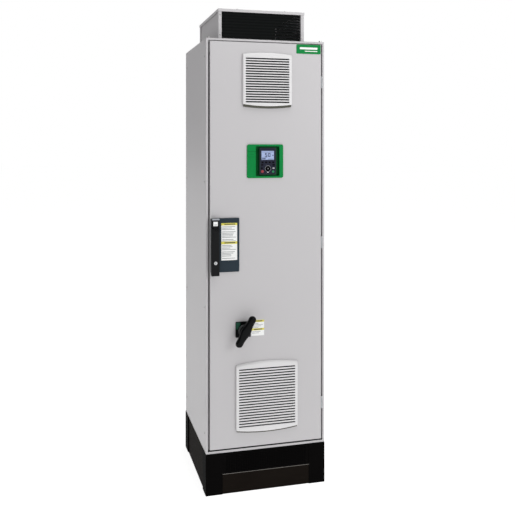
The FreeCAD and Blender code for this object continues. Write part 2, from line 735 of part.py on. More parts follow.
def gland_plates():
    """Front plate for the cable glands and back plate with the cooling air inlet."""
    height = (RING_LOW_TOP, f"{RING_LOW_TOP} + gland_plate_t")
    narrow, wide = f"{SIDE} - tube_w - 2", f"{SIDE} - tube_w + 8"
    near, far = f"{SIDE} - tube_w + 8", "rail_y - 26"
    front = fuse(box((f"-({narrow})", narrow), (f"-({near})", far), height),
                 box((f"-({wide})", wide), (f"-({SIDE}) + tube_w + 23", far), height))
    holes = [rod("Z", "gland_r", (f"{RING_LOW_TOP} - 1", f"{RING_LOW_TOP} + 9"), (x, "gland_y"))
             for x in gland_places()]
    bearing = f"{SIDE} - tube_w + 1.5"
    back = fuse(box((f"-({narrow})", narrow), (f"{far} + 1", near), height),
                box((f"-({bearing})", bearing), (f"{far} + 1", f"{SIDE} - tube_w - 3"), height))
    inlet = box(around("0", "duct_w - 30"), ("rail_y + 16", f"{SIDE} - tube_w - 6"),
                (f"{RING_LOW_TOP} - 1", f"{RING_LOW_TOP} + 9"))
    node("gland_plates", group(cut(front, *holes), cut(back, inlet)))


def cable_glands():
    """Threaded glands with a hexagon flange, a lock nut and a domed cap, open for a cable."""
    glands = []
    for x in gland_places():
        under, over = RING_LOW_TOP, f"{RING_LOW_TOP} + gland_plate_t"
        solid = fuse(hexagon("gland_r + 8", (f"{under} - 10", under), x, "gland_y"),
                     rod("Z", "gland_r", (f"{under} - 1", f"{over} + 14"), (x, "gland_y")),
                     rod("Z", "gland_r + 1", (f"{under} - 34", f"{under} - 9"), (x, "gland_y")),
                     hexagon("gland_r + 7", (over, f"{over} + 8"), x, "gland_y"))
        bore = rod("Z", "gland_bore", (f"{under} - 40", f"{over} + 20"), (x, "gland_y"))
        glands.append(cut(solid, bore))
    node("cable_glands", group(*glands))


# ---------------------------------------------------------------- hinges

def hinge_heights():
    return [f"hinge_low + {step} * hinge_pitch" for step in range(3)]


def hinges():
    """Three lift-off hinges in the gap beside the door: frame knuckles, pins, door knuckles."""
    frame_parts, pins, door_parts = [], [], []
    centre = ("hinge_x", "hinge_y")
    leaf_y = ("hinge_y - leaf_t/2", "hinge_y + leaf_t/2")
    rim = f"{SIDE} - rim_w"
    for middle in hinge_heights():
        half = f"{middle} + knuckle_mid/2"
        low_half = f"{middle} - knuckle_mid/2"
        pins.append(rod("Z", "pin_r", (f"{low_half} - knuckle_len", f"{half} + knuckle_len"), centre))
        for span in ((f"{low_half} - knuckle_len", low_half), (half, f"{half} + knuckle_len")):
            shell = fuse(rod("Z", "knuckle_r", span, centre), box(("hinge_x", rim), leaf_y, span))
            frame_parts.append(cut(shell, rod("Z", "pin_r", span, centre)))
        span = (f"{low_half} + fit_gap", f"{half} - fit_gap")
        shell = fuse(rod("Z", "knuckle_r", span, centre), box((DOOR_SIDE, "hinge_x"), leaf_y, span))
        door_parts.append(cut(shell, rod("Z", "pin_r + run_gap", span, centre)))
    node("hinge_frame_leaves", group(*frame_parts))
    node("hinge_pins", group(*pins))
    node("hinge_door_leaves", group(*door_parts))


# ---------------------------------------------------------------- equipment inside

def mounting_frame():
    """Two rails between the rings, the equipment plate, and the earth bar on it."""
    pieces = []
    rail_out = f"{SIDE} - 8"
    for side in (-1, 1):
        x = sided(side, f"{rail_out} - rail_w", rail_out)
        hollow_x = sided(side, f"{rail_out} - rail_w + tube_wall", f"{rail_out} - tube_wall")
        rail = box(x, ("rail_y", "rail_y + rail_w"), (RING_LOW_TOP, RING_HIGH_LOW))
        hollow = box(hollow_x, ("rail_y + tube_wall", "rail_y + rail_w + 1"),
                     (f"{RING_LOW_TOP} - 1", f"{RING_HIGH_LOW} + 1"))
        pieces.append(cut(rail, hollow))
    plate = box((f"-({rail_out})", rail_out), ("rail_y - plate_t", "rail_y"), ("plate_low", "module_low - 10"))
    pieces.append(plate)
    node("mounting_frame", group(*pieces))


def duct_tube(low, high):
    """A square tube of sheet, open at both ends."""
    outside = box(around("0", "duct_w"), ("rail_y", "duct_back"), (low, high))
    inside = box(around("0", "duct_w - sheet_t * 2"), ("rail_y + sheet_t", "duct_back - sheet_t"),
                 (f"{low} - 1", f"{high} + 1"))
    return cut(outside, inside)


def air_duct():
    """Sheet duct from the floor to the roof behind the equipment, with the duct fan's ring."""
    lower = duct_tube(f"{RING_LOW_TOP} + gland_plate_t", "module_low")
    upper = duct_tube("module_top", ROOF_IN)
    shroud_solid = box(around("0", "duct_w"), ("rail_y + sink_base", "duct_back"), ("module_low", "module_top"))
    shroud_space = box(around("0", "duct_w - sheet_t * 2"), ("rail_y + sink_base - 1", "duct_back - sheet_t"),
                       ("module_low - 1", "module_top + 1"))
    tray = box(around("0", "duct_w - sheet_t * 2"), ("rail_y + sheet_t", "duct_back - sheet_t"),
               ("duct_fan_z - 26", "duct_fan_z + 26"))
    centre = ("0", DUCT_MIDDLE)
    through = ("duct_fan_z - 30", "duct_fan_z + 30")
    bore = rod("Z", "duct_fan_r + 4", through, centre)
    motor = rod("Z", "fan_motor_r", ("duct_fan_z - 26", "duct_fan_z - 12"), centre)
    spokes = [slab("duct_fan_r * 2 + 12", "8", "5", (*centre, "duct_fan_z - 23"), (0, 0, 1), turn)
              for turn in (45, -45)]
    fan = cut(fuse(cut(tray, bore), motor, *spokes), rod("Z", "fan_shaft_r + run_gap", through, centre))
    node("air_duct", group(lower, upper, cut(shroud_solid, shroud_space), fan))


def impeller(axis, centre, middle, hub_r, tip_r, blades, depth, lean):
    """Hub with slanted blades on a short shaft; centre lists the two other coordinates."""
    hub_span = (f"{middle} - {depth / 2}", f"{middle} + {depth / 2}")
    pieces = [rod(axis, hub_r, hub_span, centre)]
    reach = f"(({hub_r}) + ({tip_r}))/2 - 3"
    for step in range(blades):
        angle = 360 * step / blades
        way = (math.cos(math.radians(angle)), math.sin(math.radians(angle)))
        place_on = [f"({centre[0]}) + ({reach}) * {way[0]:.6f}", f"({centre[1]}) + ({reach}) * {way[1]:.6f}"]
        place_on.insert("XYZ".index(axis), middle)
        pieces.append(blade(axis, place_on, f"({tip_r}) - ({hub_r}) + 2", angle, depth, lean))
    return fuse(*pieces)


def blade(axis, centre, length, angle, depth, lean):
    """One flat blade: it points outwards at an angle and leans about its own length."""
    made = doc.addObject("Part::Box", "Blade")
    spin = FreeCAD.Rotation(FreeCAD.Vector(0, 0, 1), angle)
    twist = FreeCAD.Rotation(FreeCAD.Vector(1, 0, 0), lean)
    stand = FreeCAD.Rotation(FreeCAD.Vector(1, 0, 0), 90) if axis == "Y" else FreeCAD.Rotation()
    if axis == "Y":
        spin = FreeCAD.Rotation(FreeCAD.Vector(0, -1, 0), angle)
    turn = spin.multiply(stand).multiply(twist)
    chord, thick = depth * 1.15, 2.4
    corner = turn.multVec(FreeCAD.Vector(number(length), chord, thick) * -0.5)
    made.Placement = FreeCAD.Placement(FreeCAD.Vector(), turn)
    bind(made, "Length", length)
    bind(made, "Width", chord)
    bind(made, "Height", thick)
    place(made, *[f"({text}) + {shift:.4f}" for text, shift in zip(centre, corner)])
    return made


def duct_fan_impeller():
    centre = ("0", DUCT_MIDDLE)
    wheel = impeller("Z", centre, "duct_fan_z + 4", "34", "duct_fan_r", 7, 26, 38)
    shaft = rod("Z", "fan_shaft_r", ("duct_fan_z - 24", "duct_fan_z + 4"), centre)
    node("duct_fan_impeller", fuse(wheel, shaft))


def heatsink():
    """Aluminium base behind the power module with fins in the duct."""
    width = around("0", "duct_w")
    height = ("module_low + 20", "module_top - 20")
    body = new_body()
    front = "rail_y"
    outline = rectangle(width, (front, f"{front} + sink_base"))
    low = "module_low + 20"
    base_sketch = sketch_on(body, "XY_Plane", low, [outline])
    pad(body, base_sketch, f"({height[1]}) - ({height[0]})")
    first = "-sink_w/2"
    fin = rectangle((first, f"{first} + fin_t"), (f"{front} + sink_base", f"{front} + sink_base + fin_depth"))
    fin_sketch = sketch_on(body, "XY_Plane", low, [fin])
    fins = pad(body, fin_sketch, f"({height[1]}) - ({height[0]})")
    pattern(body, fins, fin_sketch, ("fin_count", "sink_w - fin_t"), None)
    node("heatsink", body)


def power_chassis():
    """Folded case of the power module, open at the front, with ears for the rails."""
    wall = "tube_wall"
    outside = box(around("0", "duct_w"), ("module_front", "rail_y"), ("module_low", "module_top"))
    inside = box(around("0", f"duct_w - {wall} * 2"), ("module_front - 1", f"rail_y - {wall}"),
                 (f"module_low + {wall}", f"module_top - {wall}"))
    ear = f"{SIDE} - 10"
    ears = [box((f"-({ear})", ear), (PLATE_FACE, "rail_y"), span)
            for span in (("module_low + 20", "module_low + 80"), ("module_top - 80", "module_top - 20"))]
    window = box(around("0", "window_w"), ("rail_y - 10", "rail_y + 1"), ("window_low", "window_high"))
    case = cut(fuse(cut(outside, inside), *ears), window)
    node("power_chassis", case)


def power_cover():
    """Front cover of the power module with ventilation slots at both ends."""
    body = new_body()
    outline = rectangle(around("0", "duct_w"), ("module_low", "module_top"))
    pad(body, sketch_on(body, "XZ_Plane", "-module_front", [outline]), "tube_wall")
    for first in ("module_low + 40", "module_top - 40 - vent_h"):
        slot = rectangle(("-vent_run/2 - vent_w/2", "-vent_run/2 + vent_w/2"), (first, f"{first} + vent_h"))
        sketch = sketch_on(body, "XZ_Plane", "-module_front + tube_wall", [slot])
        slots = pocket(body, sketch, "tube_wall * 2")
        pattern(body, slots, sketch, ("21", "vent_run"), None)
    node("power_cover", body)


def control_block():
    """Plastic control unit on the power module, with a stepped terminal shelf."""
    face = "module_front - tube_wall"
    main = box(around("0", "control_w"), (f"{face} - control_t", face), ("control_low + 90", "control_top"))
    shelf = box(around("0", "control_w"), (f"{face} - control_t/2", face), ("control_low", "control_low + 90"))
    slots = [box(around("0", "control_w - 40"), (f"{face} - control_t - 1", f"{face} - control_t + 3"),
                 (f"control_low + {level}", f"control_low + {level + 12}")) for level in (130, 160, 190)]
    connectors = [box(around(f"{offset}", "38"), (f"{face} - control_t/2 - 12", f"{face} - control_t/2"),
                      ("control_low + 20", "control_low + 44")) for offset in (-72, -24, 24, 72)]
    node("control_block", fuse(cut(main, *slots), shelf, *connectors))


def main_switch():
    """Three-pole load switch behind the isolator handle, with barriers between its poles."""
    x, z = around("switch_x", "breaker_w"), around("switch_z - 10", "breaker_h")
    case = box(x, ("breaker_front + 20", PLATE_FACE), z)
    nose = box(around("switch_x", "70"), ("breaker_front", "breaker_front + 21"), around("switch_z", "80"))
    notches = [box(around(f"switch_x + {offset}", "34"), ("breaker_front + 10", "breaker_front + 52"), span)
               for offset in (-62, 0, 62)
               for span in (("switch_z + breaker_h/2 - 42", "switch_z + breaker_h/2"),
                            ("switch_z - breaker_h/2 - 20", "switch_z - breaker_h/2 + 22"))]
    depth = ("breaker_front - 1", "breaker_front + 24")
    bore = rod("Y", "shaft_hub_r + run_gap", depth, ("switch_x", "switch_z"))
    node("main_switch", cut(fuse(case, nose), *notches, bore))


def isolator_shaft():
    """Square shaft from the switch to the door handle, on a round collar in the switch."""
    centre = ("switch_x", "switch_z")
    collar = rod("Y", "shaft_hub_r", ("breaker_front - 12", "breaker_front + 20"), centre)
    bar = box(around("switch_x", "shaft_w"), ("shaft_tip", "breaker_front - 11"), around("switch_z", "shaft_w"))
    node("isolator_shaft", fuse(collar, bar))


def fuse_places():
    return [f"fuse_first + {step} * fuse_pitch" for step in range(3)]


def fuses():
    """Three square-bodied fuse links with end blades."""
    links = []
    for x in fuse_places():
        ceramic = box(around(x, "fuse_w"), around("bar_y - bar_t/2", "fuse_w"), ("fuse_low", "fuse_high"))
        blades = ("fuse_low - blade_len", "fuse_high + blade_len")
        links.append(fuse(ceramic, box(around(x, "bar_w"), ("bar_y - bar_t", "bar_y"), blades)))
    node("fuses", group(*links))


def busbars():
    """Copper bars from the fuses to the power module, and the earth bar."""
    bars = []
    for x in fuse_places():
        across = around(x, "bar_w")
        low = box(across, ("bar_y", "bar_y + bar_t"), ("bar_low", "fuse_low"))
        foot = box(across, ("bar_y", PLATE_FACE), ("bar_low", "bar_low + bar_t"))
        bars.append(fuse(low, foot))
        bars.append(box(across, ("bar_y", "bar_y + bar_t"), ("fuse_high + 2", "module_low - 6")))
    bars.append(box(around("0", "earth_w"), ("earth_y", "earth_y + bar_t"), around("earth_z", "24")))
    ends = [box(around(f"{side} * (earth_w/2 - 20)", "20"), ("earth_y + bar_t", PLATE_FACE),
                around("earth_z", "16")) for side in (-1, 1)]
    node("busbars", group(*bars, *ends))


def choke():
    """Three-phase line choke: laminated core on two feet, and one winding per limb."""
    low, high = "choke_low", "choke_low + choke_h"
    back = "choke_front + choke_d"
    core = box(around("0", "choke_w"), ("choke_front", back), (low, high))
    windows = [box(around(f"{side} * choke_w/4", "choke_w/4"), ("choke_front - 1", f"{back} + 1"),
                   (f"{low} + yoke_h", f"{high} - yoke_h")) for side in (-1, 1)]
    feet = [box(around("0", "choke_w + 40"), sided_span, (f"{RING_LOW_TOP} + gland_plate_t", low))
            for sided_span in (("choke_front", "choke_front + 4"), (f"{back} - 4", back))]
    node("choke_core", fuse(cut(core, *windows), *feet))
    coils = []
    for offset, limb in (("-choke_w * 7/16", "choke_w/8"), ("0", "choke_w/4"), ("choke_w * 7/16", "choke_w/8")):
        limb_x = around(offset, limb)
        outer = box((f"{limb_x[0]} - coil_side", f"{limb_x[1]} + coil_side"),
                    ("choke_front - coil_deep", f"{back} + coil_deep"),
                    (f"{low} + yoke_h + 6", f"{high} - yoke_h - 6"))
        hole = box(limb_x, ("choke_front", back), (f"{low} + yoke_h", f"{high} - yoke_h"))
        coils.append(cut(outer, hole))
    node("choke_windings", group(*coils))


def terminal_strip():
    """Top-hat rail with a row of terminals."""
    rail = box(("strip_left", "strip_left + strip_long"), (f"{PLATE_FACE} - 8", PLATE_FACE),
               around("strip_z", "35"))
    clamps = []
    for step in range(16):
        left = f"strip_left + 8 + {step} * clamp_pitch"
        clamps.append(box((left, f"{left} + clamp_w"), (f"{PLATE_FACE} - 46", f"{PLATE_FACE} - 8"),
                          around("strip_z", "clamp_h")))
    node("terminal_strip", group(rail, *clamps))


def lock_keepers():
    """Plain pads on the frame rings behind the ends of the locking rods."""
    x = around("lock_x", "rod_w + 2")
    y = (f"{CHANNEL} - 11", CHANNEL)
    top = box(x, y, (f"{DOOR_TOP} - rod_end - 10", f"{DOOR_TOP} - rod_end + 8"))
    low = box(x, y, (f"{DOOR_LOW} + rod_end - 8", f"{DOOR_LOW} + rod_end + 10"))
    node("lock_keepers", group(top, low))


# ---------------------------------------------------------------- door

def door_panel():
    """Door skin with folded edges, return flanges and its cut-outs."""
    side = (f"-({DOOR_SIDE})", DOOR_SIDE)
    tray = box(side, (FACE, FOLD_IN), (DOOR_LOW, DOOR_TOP))
    space = box((f"-({DOOR_SIDE} - sheet_t)", f"{DOOR_SIDE} - sheet_t"), (SKIN_IN, f"{FOLD_IN} - sheet_t"),
                (f"{DOOR_LOW} + sheet_t", f"{DOOR_TOP} - sheet_t"))
    mouth = box((f"-({DOOR_SIDE} - flange_w)", f"{DOOR_SIDE} - flange_w"),
                (f"{FOLD_IN} - sheet_t - 1", f"{FOLD_IN} + 1"),
                (f"{DOOR_LOW} + flange_w", f"{DOOR_TOP} - flange_w"))
    through = (f"{FACE} - 1", f"{SKIN_IN} + 1")
    holes = [
        box(around("grille_hi_x", "filter_hi + 1"), through, around("grille_hi_z", "filter_hi + 1")),
        box(around("grille_lo_x", "filter_lo + 1"), through, around("grille_lo_z", "filter_lo + 1")),
        box(around("well_x", "well_w + well_wall * 2 + 1"), through,
            around("hmi_z", "well_h + well_wall * 2 + 1")),
        rod("Y", "boss_r + 1", through, ("switch_x", "switch_z")),
        rod("Y", "lock_shaft_r + 1", through, ("lock_x", "lock_hub_z")),
    ]
    node("door_panel", cut(tray, space, mouth, *holes))


def door_stiffeners():
    """Two upright stiffeners and the guides of the locking rods, on the back of the skin."""
    pieces = []
    height = (f"{DOOR_LOW} + 40", f"{DOOR_TOP} - 40")
    for x in ("stiff_left", "stiff_right"):
        outside = box(around(x, "stiff_w"), (SKIN_IN, f"{SKIN_IN} + stiff_t"), height)
        inside = box(around(x, "stiff_w - sheet_t * 2"), (f"{SKIN_IN} - 1", f"{SKIN_IN} + stiff_t - sheet_t"),
                     (height[0] + " - 1", height[1] + " + 1"))
        pieces.append(cut(outside, inside))
    rod_front = f"{SKIN_IN} + rod_skin_gap"
    for z in (480, 860, 1180, 1520, 1840, 2080):
        span = (f"{z - 8}", f"{z + 8}")
        holder = box(around("lock_x", "rod_w + 5"), (SKIN_IN, f"{rod_front} + rod_t + 3"), span)
        slot = box(around("lock_x", "rod_w + fit_gap * 2"),
                   (f"{rod_front} - fit_gap", f"{rod_front} + rod_t + fit_gap"), (f"{z - 9}", f"{z + 9}"))
        pieces.append(cut(holder, slot))
    node("door_stiffeners", group(*pieces))


def door_gasket():
    """Foamed seal between the door flange and the frame."""
    outer, inner = f"{DOOR_SIDE} - 2", f"{DOOR_SIDE} - 2 - flange_w"
    y = (FOLD_IN, f"{FOLD_IN} + gasket_t")
    ring = box((f"-({outer})", outer), y, (f"{DOOR_LOW} + 2", f"{DOOR_TOP} - 2"))
    middle = box((f"-({inner})", inner), (f"{y[0]} - 1", f"{y[1]} + 1"),
                 (f"{DOOR_LOW} + 2 + flange_w", f"{DOOR_TOP} - 2 - flange_w"))
    node("door_gasket", cut(ring, middle))


def sign_plate():
    """Blank plate at the top of the door, with rounded corners."""
    body = new_body()
    outline = rectangle(around("sign_x", "sign_w"), around("sign_z", "sign_h"))
    plate = pad(body, sketch_on(body, "XZ_Plane", "cab_d/2 + door_proud", [outline]), "sign_t")
    round_edges(body, plate, "4", (0, 1, 0))
    node("sign_plate", body)


def grille(which):
    """Louvred filter grille: bowed top and bottom, one slot repeated upwards."""
    x, z = f"grille_{which}_x", f"grille_{which}_z"
    w, tall, bow = f"grille_{which}_w", f"grille_{which}_h", f"grille_{which}_bow"
    body = new_body()
    outline = rectangle(around(x, w), around(z, tall))
    radius = f"({w} * {w}/4 + {bow} * {bow})/({bow} * 2)"
    face = "cab_d/2 + door_proud"
    pad(body, sketch_on(body, "XZ_Plane", face, [outline], {0: radius, 2: radius}), "grille_t")
    run = f"(grille_{which}_slots - 1) * grille_{which}_pitch"
    first = f"{z} - ({run})/2"
    inner = f"{w} - grille_edge * 2"
    slot = rectangle(around(x, inner), (f"{first} - slot_h/2", f"{first} + slot_h/2"))
    sketch = sketch_on(body, "XZ_Plane", f"{face} + grille_t", [slot])
    slots = pocket(body, sketch, "grille_t")
    pattern(body, slots, sketch, None, (f"grille_{which}_slots", run))
    return body


def filter_grilles():
    node("filter_grilles", group(*[grille(which) for which in ("hi", "lo")]))


def filter_housing(which):
    """Square case behind a grille, open at the front, with a lattice at its back."""
    x, z, size = f"grille_{which}_x", f"grille_{which}_z", f"filter_{which}"
    deep = f"{SKIN_IN} + filter_{which}_depth"
    outside = box(around(x, size), (FACE, deep), around(z, size))
    inner = f"{size} - filter_wall * 2"
    inside = box(around(x, inner), (f"{FACE} - 1", f"{deep} - filter_wall"), around(z, inner))
    ways = []
    for row in range(5):
        for column in range(5):
            cell_x = around(f"{x} + ({inner}) * {(column - 2) / 5}", f"({inner})/5 - 5")
            cell_z = around(f"{z} + ({inner}) * {(row - 2) / 5}", f"({inner})/5 - 5")
            ways.append(box(cell_x, (f"{deep} - filter_wall - 1", f"{deep} + 1"), cell_z))
    return cut(outside, inside, *ways)


def filters():
    """Housings and their mats, for the upper outlet and the lower inlet."""
    node("filter_housings", group(*[filter_housing(which) for which in ("hi", "lo")]))
    mats = []
    for which in ("hi", "lo"):
        back = f"{SKIN_IN} + filter_{which}_depth - filter_wall"
        size = f"filter_{which} - filter_wall * 2 - fit_gap * 2"
        mats.append(box(around(f"grille_{which}_x", size), (f"{back} - mat_t", back),
                        around(f"grille_{which}_z", size)))
    node("filter_mats", group(*mats))


def door_fan():
    """Fan behind the lower filter: square frame with motor and spokes, and its impeller."""
    x, z = "grille_lo_x", "grille_lo_z"
    front = f"{SKIN_IN} + filter_lo_depth"
    back = f"{front} + fan_depth"
    case = box(around(x, "fan_w"), (front, back), around(z, "fan_w"))
    bore = rod("Y", "fan_bore_r", (f"{front} - 1", f"{back} + 1"), (x, z))
    motor = rod("Y", "fan_motor_r", (f"{back} - 14", back), (x, z))
    spokes = [slab("fan_bore_r * 2 + 4", "6", "8", (x, f"{back} - 3", z), (0, 1, 0), turn)
              for turn in (45, -45)]
    shaft_hole = rod("Y", "fan_shaft_r + run_gap", (f"{back} - 20", f"{back} + 1"), (x, z))
    node("door_fan_frame", cut(fuse(cut(case, bore), motor, *spokes), shaft_hole))
    middle = f"({front} + {back})/2 - 6"
    wheel = impeller("Y", (x, z), middle, "36", "fan_tip_r", 7, 24, 35)
    shaft = rod("Y", "fan_shaft_r", (middle, f"{back} - 2"), (x, z))
    node("door_fan_impeller", fuse(wheel, shaft))


# ---------------------------------------------------------------- operator panel

def hmi_bezel():
    """Rounded bezel with the recessed well that the keypad sits in."""
    body = new_body()
    face = "cab_d/2 + door_proud"
    outline = rectangle(around("hmi_x", "hmi_w"), around("hmi_z", "hmi_h"))
    plate = pad(body, sketch_on(body, "XZ_Plane", face, [outline]), "hmi_t")
    round_edges(body, plate, "hmi_round", (0, 1, 0))
    inset = "well_w + well_wall * 2"
    tub_outline = rectangle(around("well_x", inset), around("hmi_z", "well_h + well_wall * 2"))
    tub_sketch = sketch_on(body, "XZ_Plane", f"{face} - well_depth - well_wall", [tub_outline])
    pad(body, tub_sketch, "well_depth + well_wall * 2")
    well = rectangle(around("well_x", "well_w"), around("hmi_z", "well_h"))
    pocket(body, sketch_on(body, "XZ_Plane", f"{face} + hmi_t", [well]), "well_depth + hmi_t")
    node("hmi_bezel", body)


def keys():
    """Name, centre and size of each key; a round key has one size, its radius."""
    x, z = "well_x", "pad_z"
    function_row = [(f"key_f{place + 1}", f"{x} + {(place - 1.5) * 18}", f"{z} - 4.5", ("9", "7"))
                    for place in range(4)]
    others = [
        ("key_escape", f"{x} - 29", f"{z} - 17", ("11", "6")),
        ("key_home", f"{x} + 29", f"{z} - 17", ("11", "6")),
        ("key_local_remote", f"{x} - 31", f"{z} - 33", ("9", "7")),
        ("key_info", f"{x} + 28", f"{z} - 33", ("10", "6")),
        ("key_stop", f"{x} - 28", f"{z} - 49", ("7",)),
        ("key_run", f"{x} + 26", f"{z} - 50", ("6",)),
        ("key_ok", x, f"{z} - 35", ("6",)),
    ]
    return function_row + others


def key_solid(centre_x, centre_z, size, span, grow):
    """A key's body, or with grow its hole."""
    if len(size) == 1:
        return rod("Y", f"{size[0]} + {grow}", span, (centre_x, centre_z))
    return box(around(centre_x, f"{size[0]} + {grow} * 2"), span, around(centre_z, f"{size[1]} + {grow} * 2"))


def keypad():
    """Keypad with a screen recess, a raised ring round the centre key, and eleven keys."""
    face = f"{FACE} - pad_proud"
    floor = f"{FACE} + well_depth"
    case = box(around("well_x", "pad_w"), (face, floor), ("pad_low", "pad_high"))
    ring = rod("Y", "16", (f"{face} - 1", f"{face} + 1"), ("well_x", "pad_z - 35"))
    screen = box(around("well_x", "screen_w"), (f"{face} - 1", f"{face} + screen_deep"),
                 around("screen_z", "screen_h"))
    holes = []
    for name, centre_x, centre_z, size in keys():
        hole_span = (f"{face} - 3", f"{face} + key_depth + key_travel")
        holes.append(key_solid(centre_x, centre_z, size, hole_span, "key_gap"))
        key_span = (f"{face} - key_proud", f"{face} + key_depth - fit_gap")
        if name == "key_ok":
            key_span = (f"{face} - 1 - key_proud", f"{face} + key_depth - fit_gap")
        node(name, key_solid(centre_x, centre_z, size, key_span, "0"))
    node("hmi_terminal", cut(fuse(case, ring), screen, *holes))


# ---------------------------------------------------------------- lock

def lock_plate():
    """Escutcheon with rounded corners, bored for the lock shaft."""
    body = new_body()
    outline = rectangle(("lock_plate_left", "lock_plate_right"), ("lock_plate_low", "lock_plate_high"))
    face = "cab_d/2 + door_proud"
    plate = pad(body, sketch_on(body, "XZ_Plane", face, [outline]), "lock_plate_t")
    round_edges(body, plate, "5", (0, 1, 0))
    bore = rod("Y", "lock_shaft_r + fit_gap", (f"{FACE} - lock_plate_t - 1", f"{FACE} + 1"),
               ("lock_x", "lock_hub_z"))
    node("lock_plate", cut(body, bore))


def lock_hub():
    """Turning head of the lock with its shaft, cam and the tongue that carries the lever."""
    back = f"{FACE} - lock_plate_t - fit_gap"
    front = f"{LEVER_BACK} - lever_t"
    head_low = "lever_pivot_z + lever_t/2 + 1"
    head = box(around("lock_x", "lever_w"), (front, back), (head_low, f"{head_low} + lock_hub_h"))
    shaft = rod("Y", "lock_shaft_r", (f"{back} - 1", f"{SKIN_IN} + rod_skin_gap + rod_t + 7"),
                ("lock_x", "lock_hub_z"))
    cam_y = f"{SKIN_IN} + rod_skin_gap + rod_t + 1.5"
    cam = rod("Y", "lock_cam_r", (cam_y, f"{cam_y} + 4"), ("lock_x", "lock_hub_z"))
    pivot_y = f"{LEVER_BACK} - lever_t/2"
    tongue = fuse(box(around("lock_x", "12"), (f"{pivot_y} - 6", f"{pivot_y} + 6"),
                      ("lever_pivot_z", f"{head_low} + 1")),
                  rod("X", "6", around("lock_x", "12"), (pivot_y, "lever_pivot_z")))
    pin_hole = rod("X", "pin_r + run_gap", around("lock_x", "14"), (pivot_y, "lever_pivot_z"))
    node("lock_hub", cut(fuse(head, shaft, cam, tongue), pin_hole))


def lock_lever():
    """Lever with a round end about its pivot pin, a slot for the tongue and a cylinder bore."""
    pivot_y = f"{LEVER_BACK} - lever_t/2"
    y = (f"{LEVER_BACK} - lever_t", LEVER_BACK)
    bar = box(around("lock_x", "lever_w"), y, ("lever_low", "lever_pivot_z"))
    end = rod("X", "lever_t/2", around("lock_x", "lever_w"), (pivot_y, "lever_pivot_z"))
    slot = box(around("lock_x", "12 + fit_gap * 2"), (f"{y[0]} - 1", f"{y[1]} + 1"),
               ("lever_pivot_z - 16", "lever_pivot_z + 20"))
    bore = rod("Y", "lock_cyl_r + run_gap", (f"{y[0]} - 1", f"{y[1]} + 1"), ("lock_x", "lock_cyl_z"))
    pin = rod("X", "pin_r", around("lock_x", "lever_w"), (pivot_y, "lever_pivot_z"))
    node("lock_lever", fuse(cut(fuse(bar, end), slot, bore), pin))


def lock_cylinder():
    """Key cylinder in the lever, with a keyway."""
    y = (f"{LEVER_BACK} - lever_t - 1.5", f"{LEVER_BACK} - 1")
    barrel = rod("Y", "lock_cyl_r", y, ("lock_x", "lock_cyl_z"))
    keyway = box(around("lock_x", "2"), (f"{y[0]} - 1", f"{y[0]} + 12"), around("lock_cyl_z", "9"))
    node("lock_cylinder", cut(barrel, keyway))


def lock_rods():
    """Flat rods that the cam draws towards the lock from the top and bottom of the door."""
    y = (f"{SKIN_IN} + rod_skin_gap", f"{SKIN_IN} + rod_skin_gap + rod_t")
    x = around("lock_x", "rod_w")
    reach = "lock_shaft_r + rod_travel + 4"
    node("lock_rod_upper", box(x, y, (f"lock_hub_z + {reach}", f"{DOOR_TOP} - rod_end")))
    node("lock_rod_lower", box(x, y, (f"{DOOR_LOW} + rod_end", f"lock_hub_z - ({reach})")))


# ---------------------------------------------------------------- isolator

def isolator_faceplate():
    """Square plate behind the isolator handle."""
    body = new_body()
    face = "cab_d/2 + door_proud"
    outline = rectangle(around("switch_x", "switch_face_w"), around("switch_z", "switch_face_w"))
    plate = pad(body, sketch_on(body, "XZ_Plane", face, [outline]), "switch_face_t")
    round_edges(body, plate, "4", (0, 1, 0))
    hole = rod("Y", "boss_r + 1", (f"{FACE} - 10", f"{FACE} + 1"), ("switch_x", "switch_z"))
    node("isolator_faceplate", cut(body, hole))


def isolator_handle():
    """Two-lobed grip on a round hub, with a coupling boss that takes the square shaft."""
    centre = ("switch_x", "switch_z")
    front = f"{FACE} - grip_front"
    hub = rod("Y", "grip_hub_r", (f"{front} + 10", f"{FACE} - switch_face_t - fit_gap"), centre)
    boss = rod("Y", "boss_r", (f"{FACE} - switch_face_t - 4", f"{SKIN_IN} + 10"), centre)
    grip_y = (front, f"{front} + grip_t")
    lobes = []
    for reach in ("grip_long", "-grip_short"):
        lobe_x = f"switch_x + ({reach}) * sin(grip_tilt)"
        lobe_z = f"switch_z + ({reach}) * cos(grip_tilt)"
        lobes.append(rod("Y", "grip_r", grip_y, (lobe_x, lobe_z)))
    tilt = number("grip_tilt")
    middle = "(grip_long - grip_short)/2"
    place_on = (f"switch_x + {middle} * sin(grip_tilt)", f"{front} + grip_t/2",
                f"switch_z + {middle} * cos(grip_tilt)")
    neck = slab("grip_neck", "grip_t", "grip_long + grip_short", place_on, (0, 1, 0), tilt)
    socket = box(around("switch_x", "shaft_w + 1"), ("shaft_tip - 3", f"{SKIN_IN} + 11"),
                 around("switch_z", "shaft_w + 1"))
    node("isolator_handle", cut(fuse(hub, boss, neck, *lobes), socket))


# ---------------------------------------------------------------- build and write

PIECES = [
    plinth_corners, plinth_panels, plinth_vent_panel, cabinet_frame, outer_panels, roof_panel,
    panel_screws, hood_frame, hood_top_cover, hood_louvres, gland_plates, cable_glands, hinges,
    mounting_frame, air_duct, duct_fan_impeller, heatsink, power_chassis, power_cover,
    control_block, main_switch, isolator_shaft, fuses, busbars, choke, terminal_strip,
    lock_keepers, door_panel, door_stiffeners, door_gasket, sign_plate, filter_grilles, filters,
    door_fan, hmi_bezel, keypad, lock_plate, lock_hub, lock_lever, lock_cylinder, lock_rods,
    isolator_faceplate, isolator_handle,
]


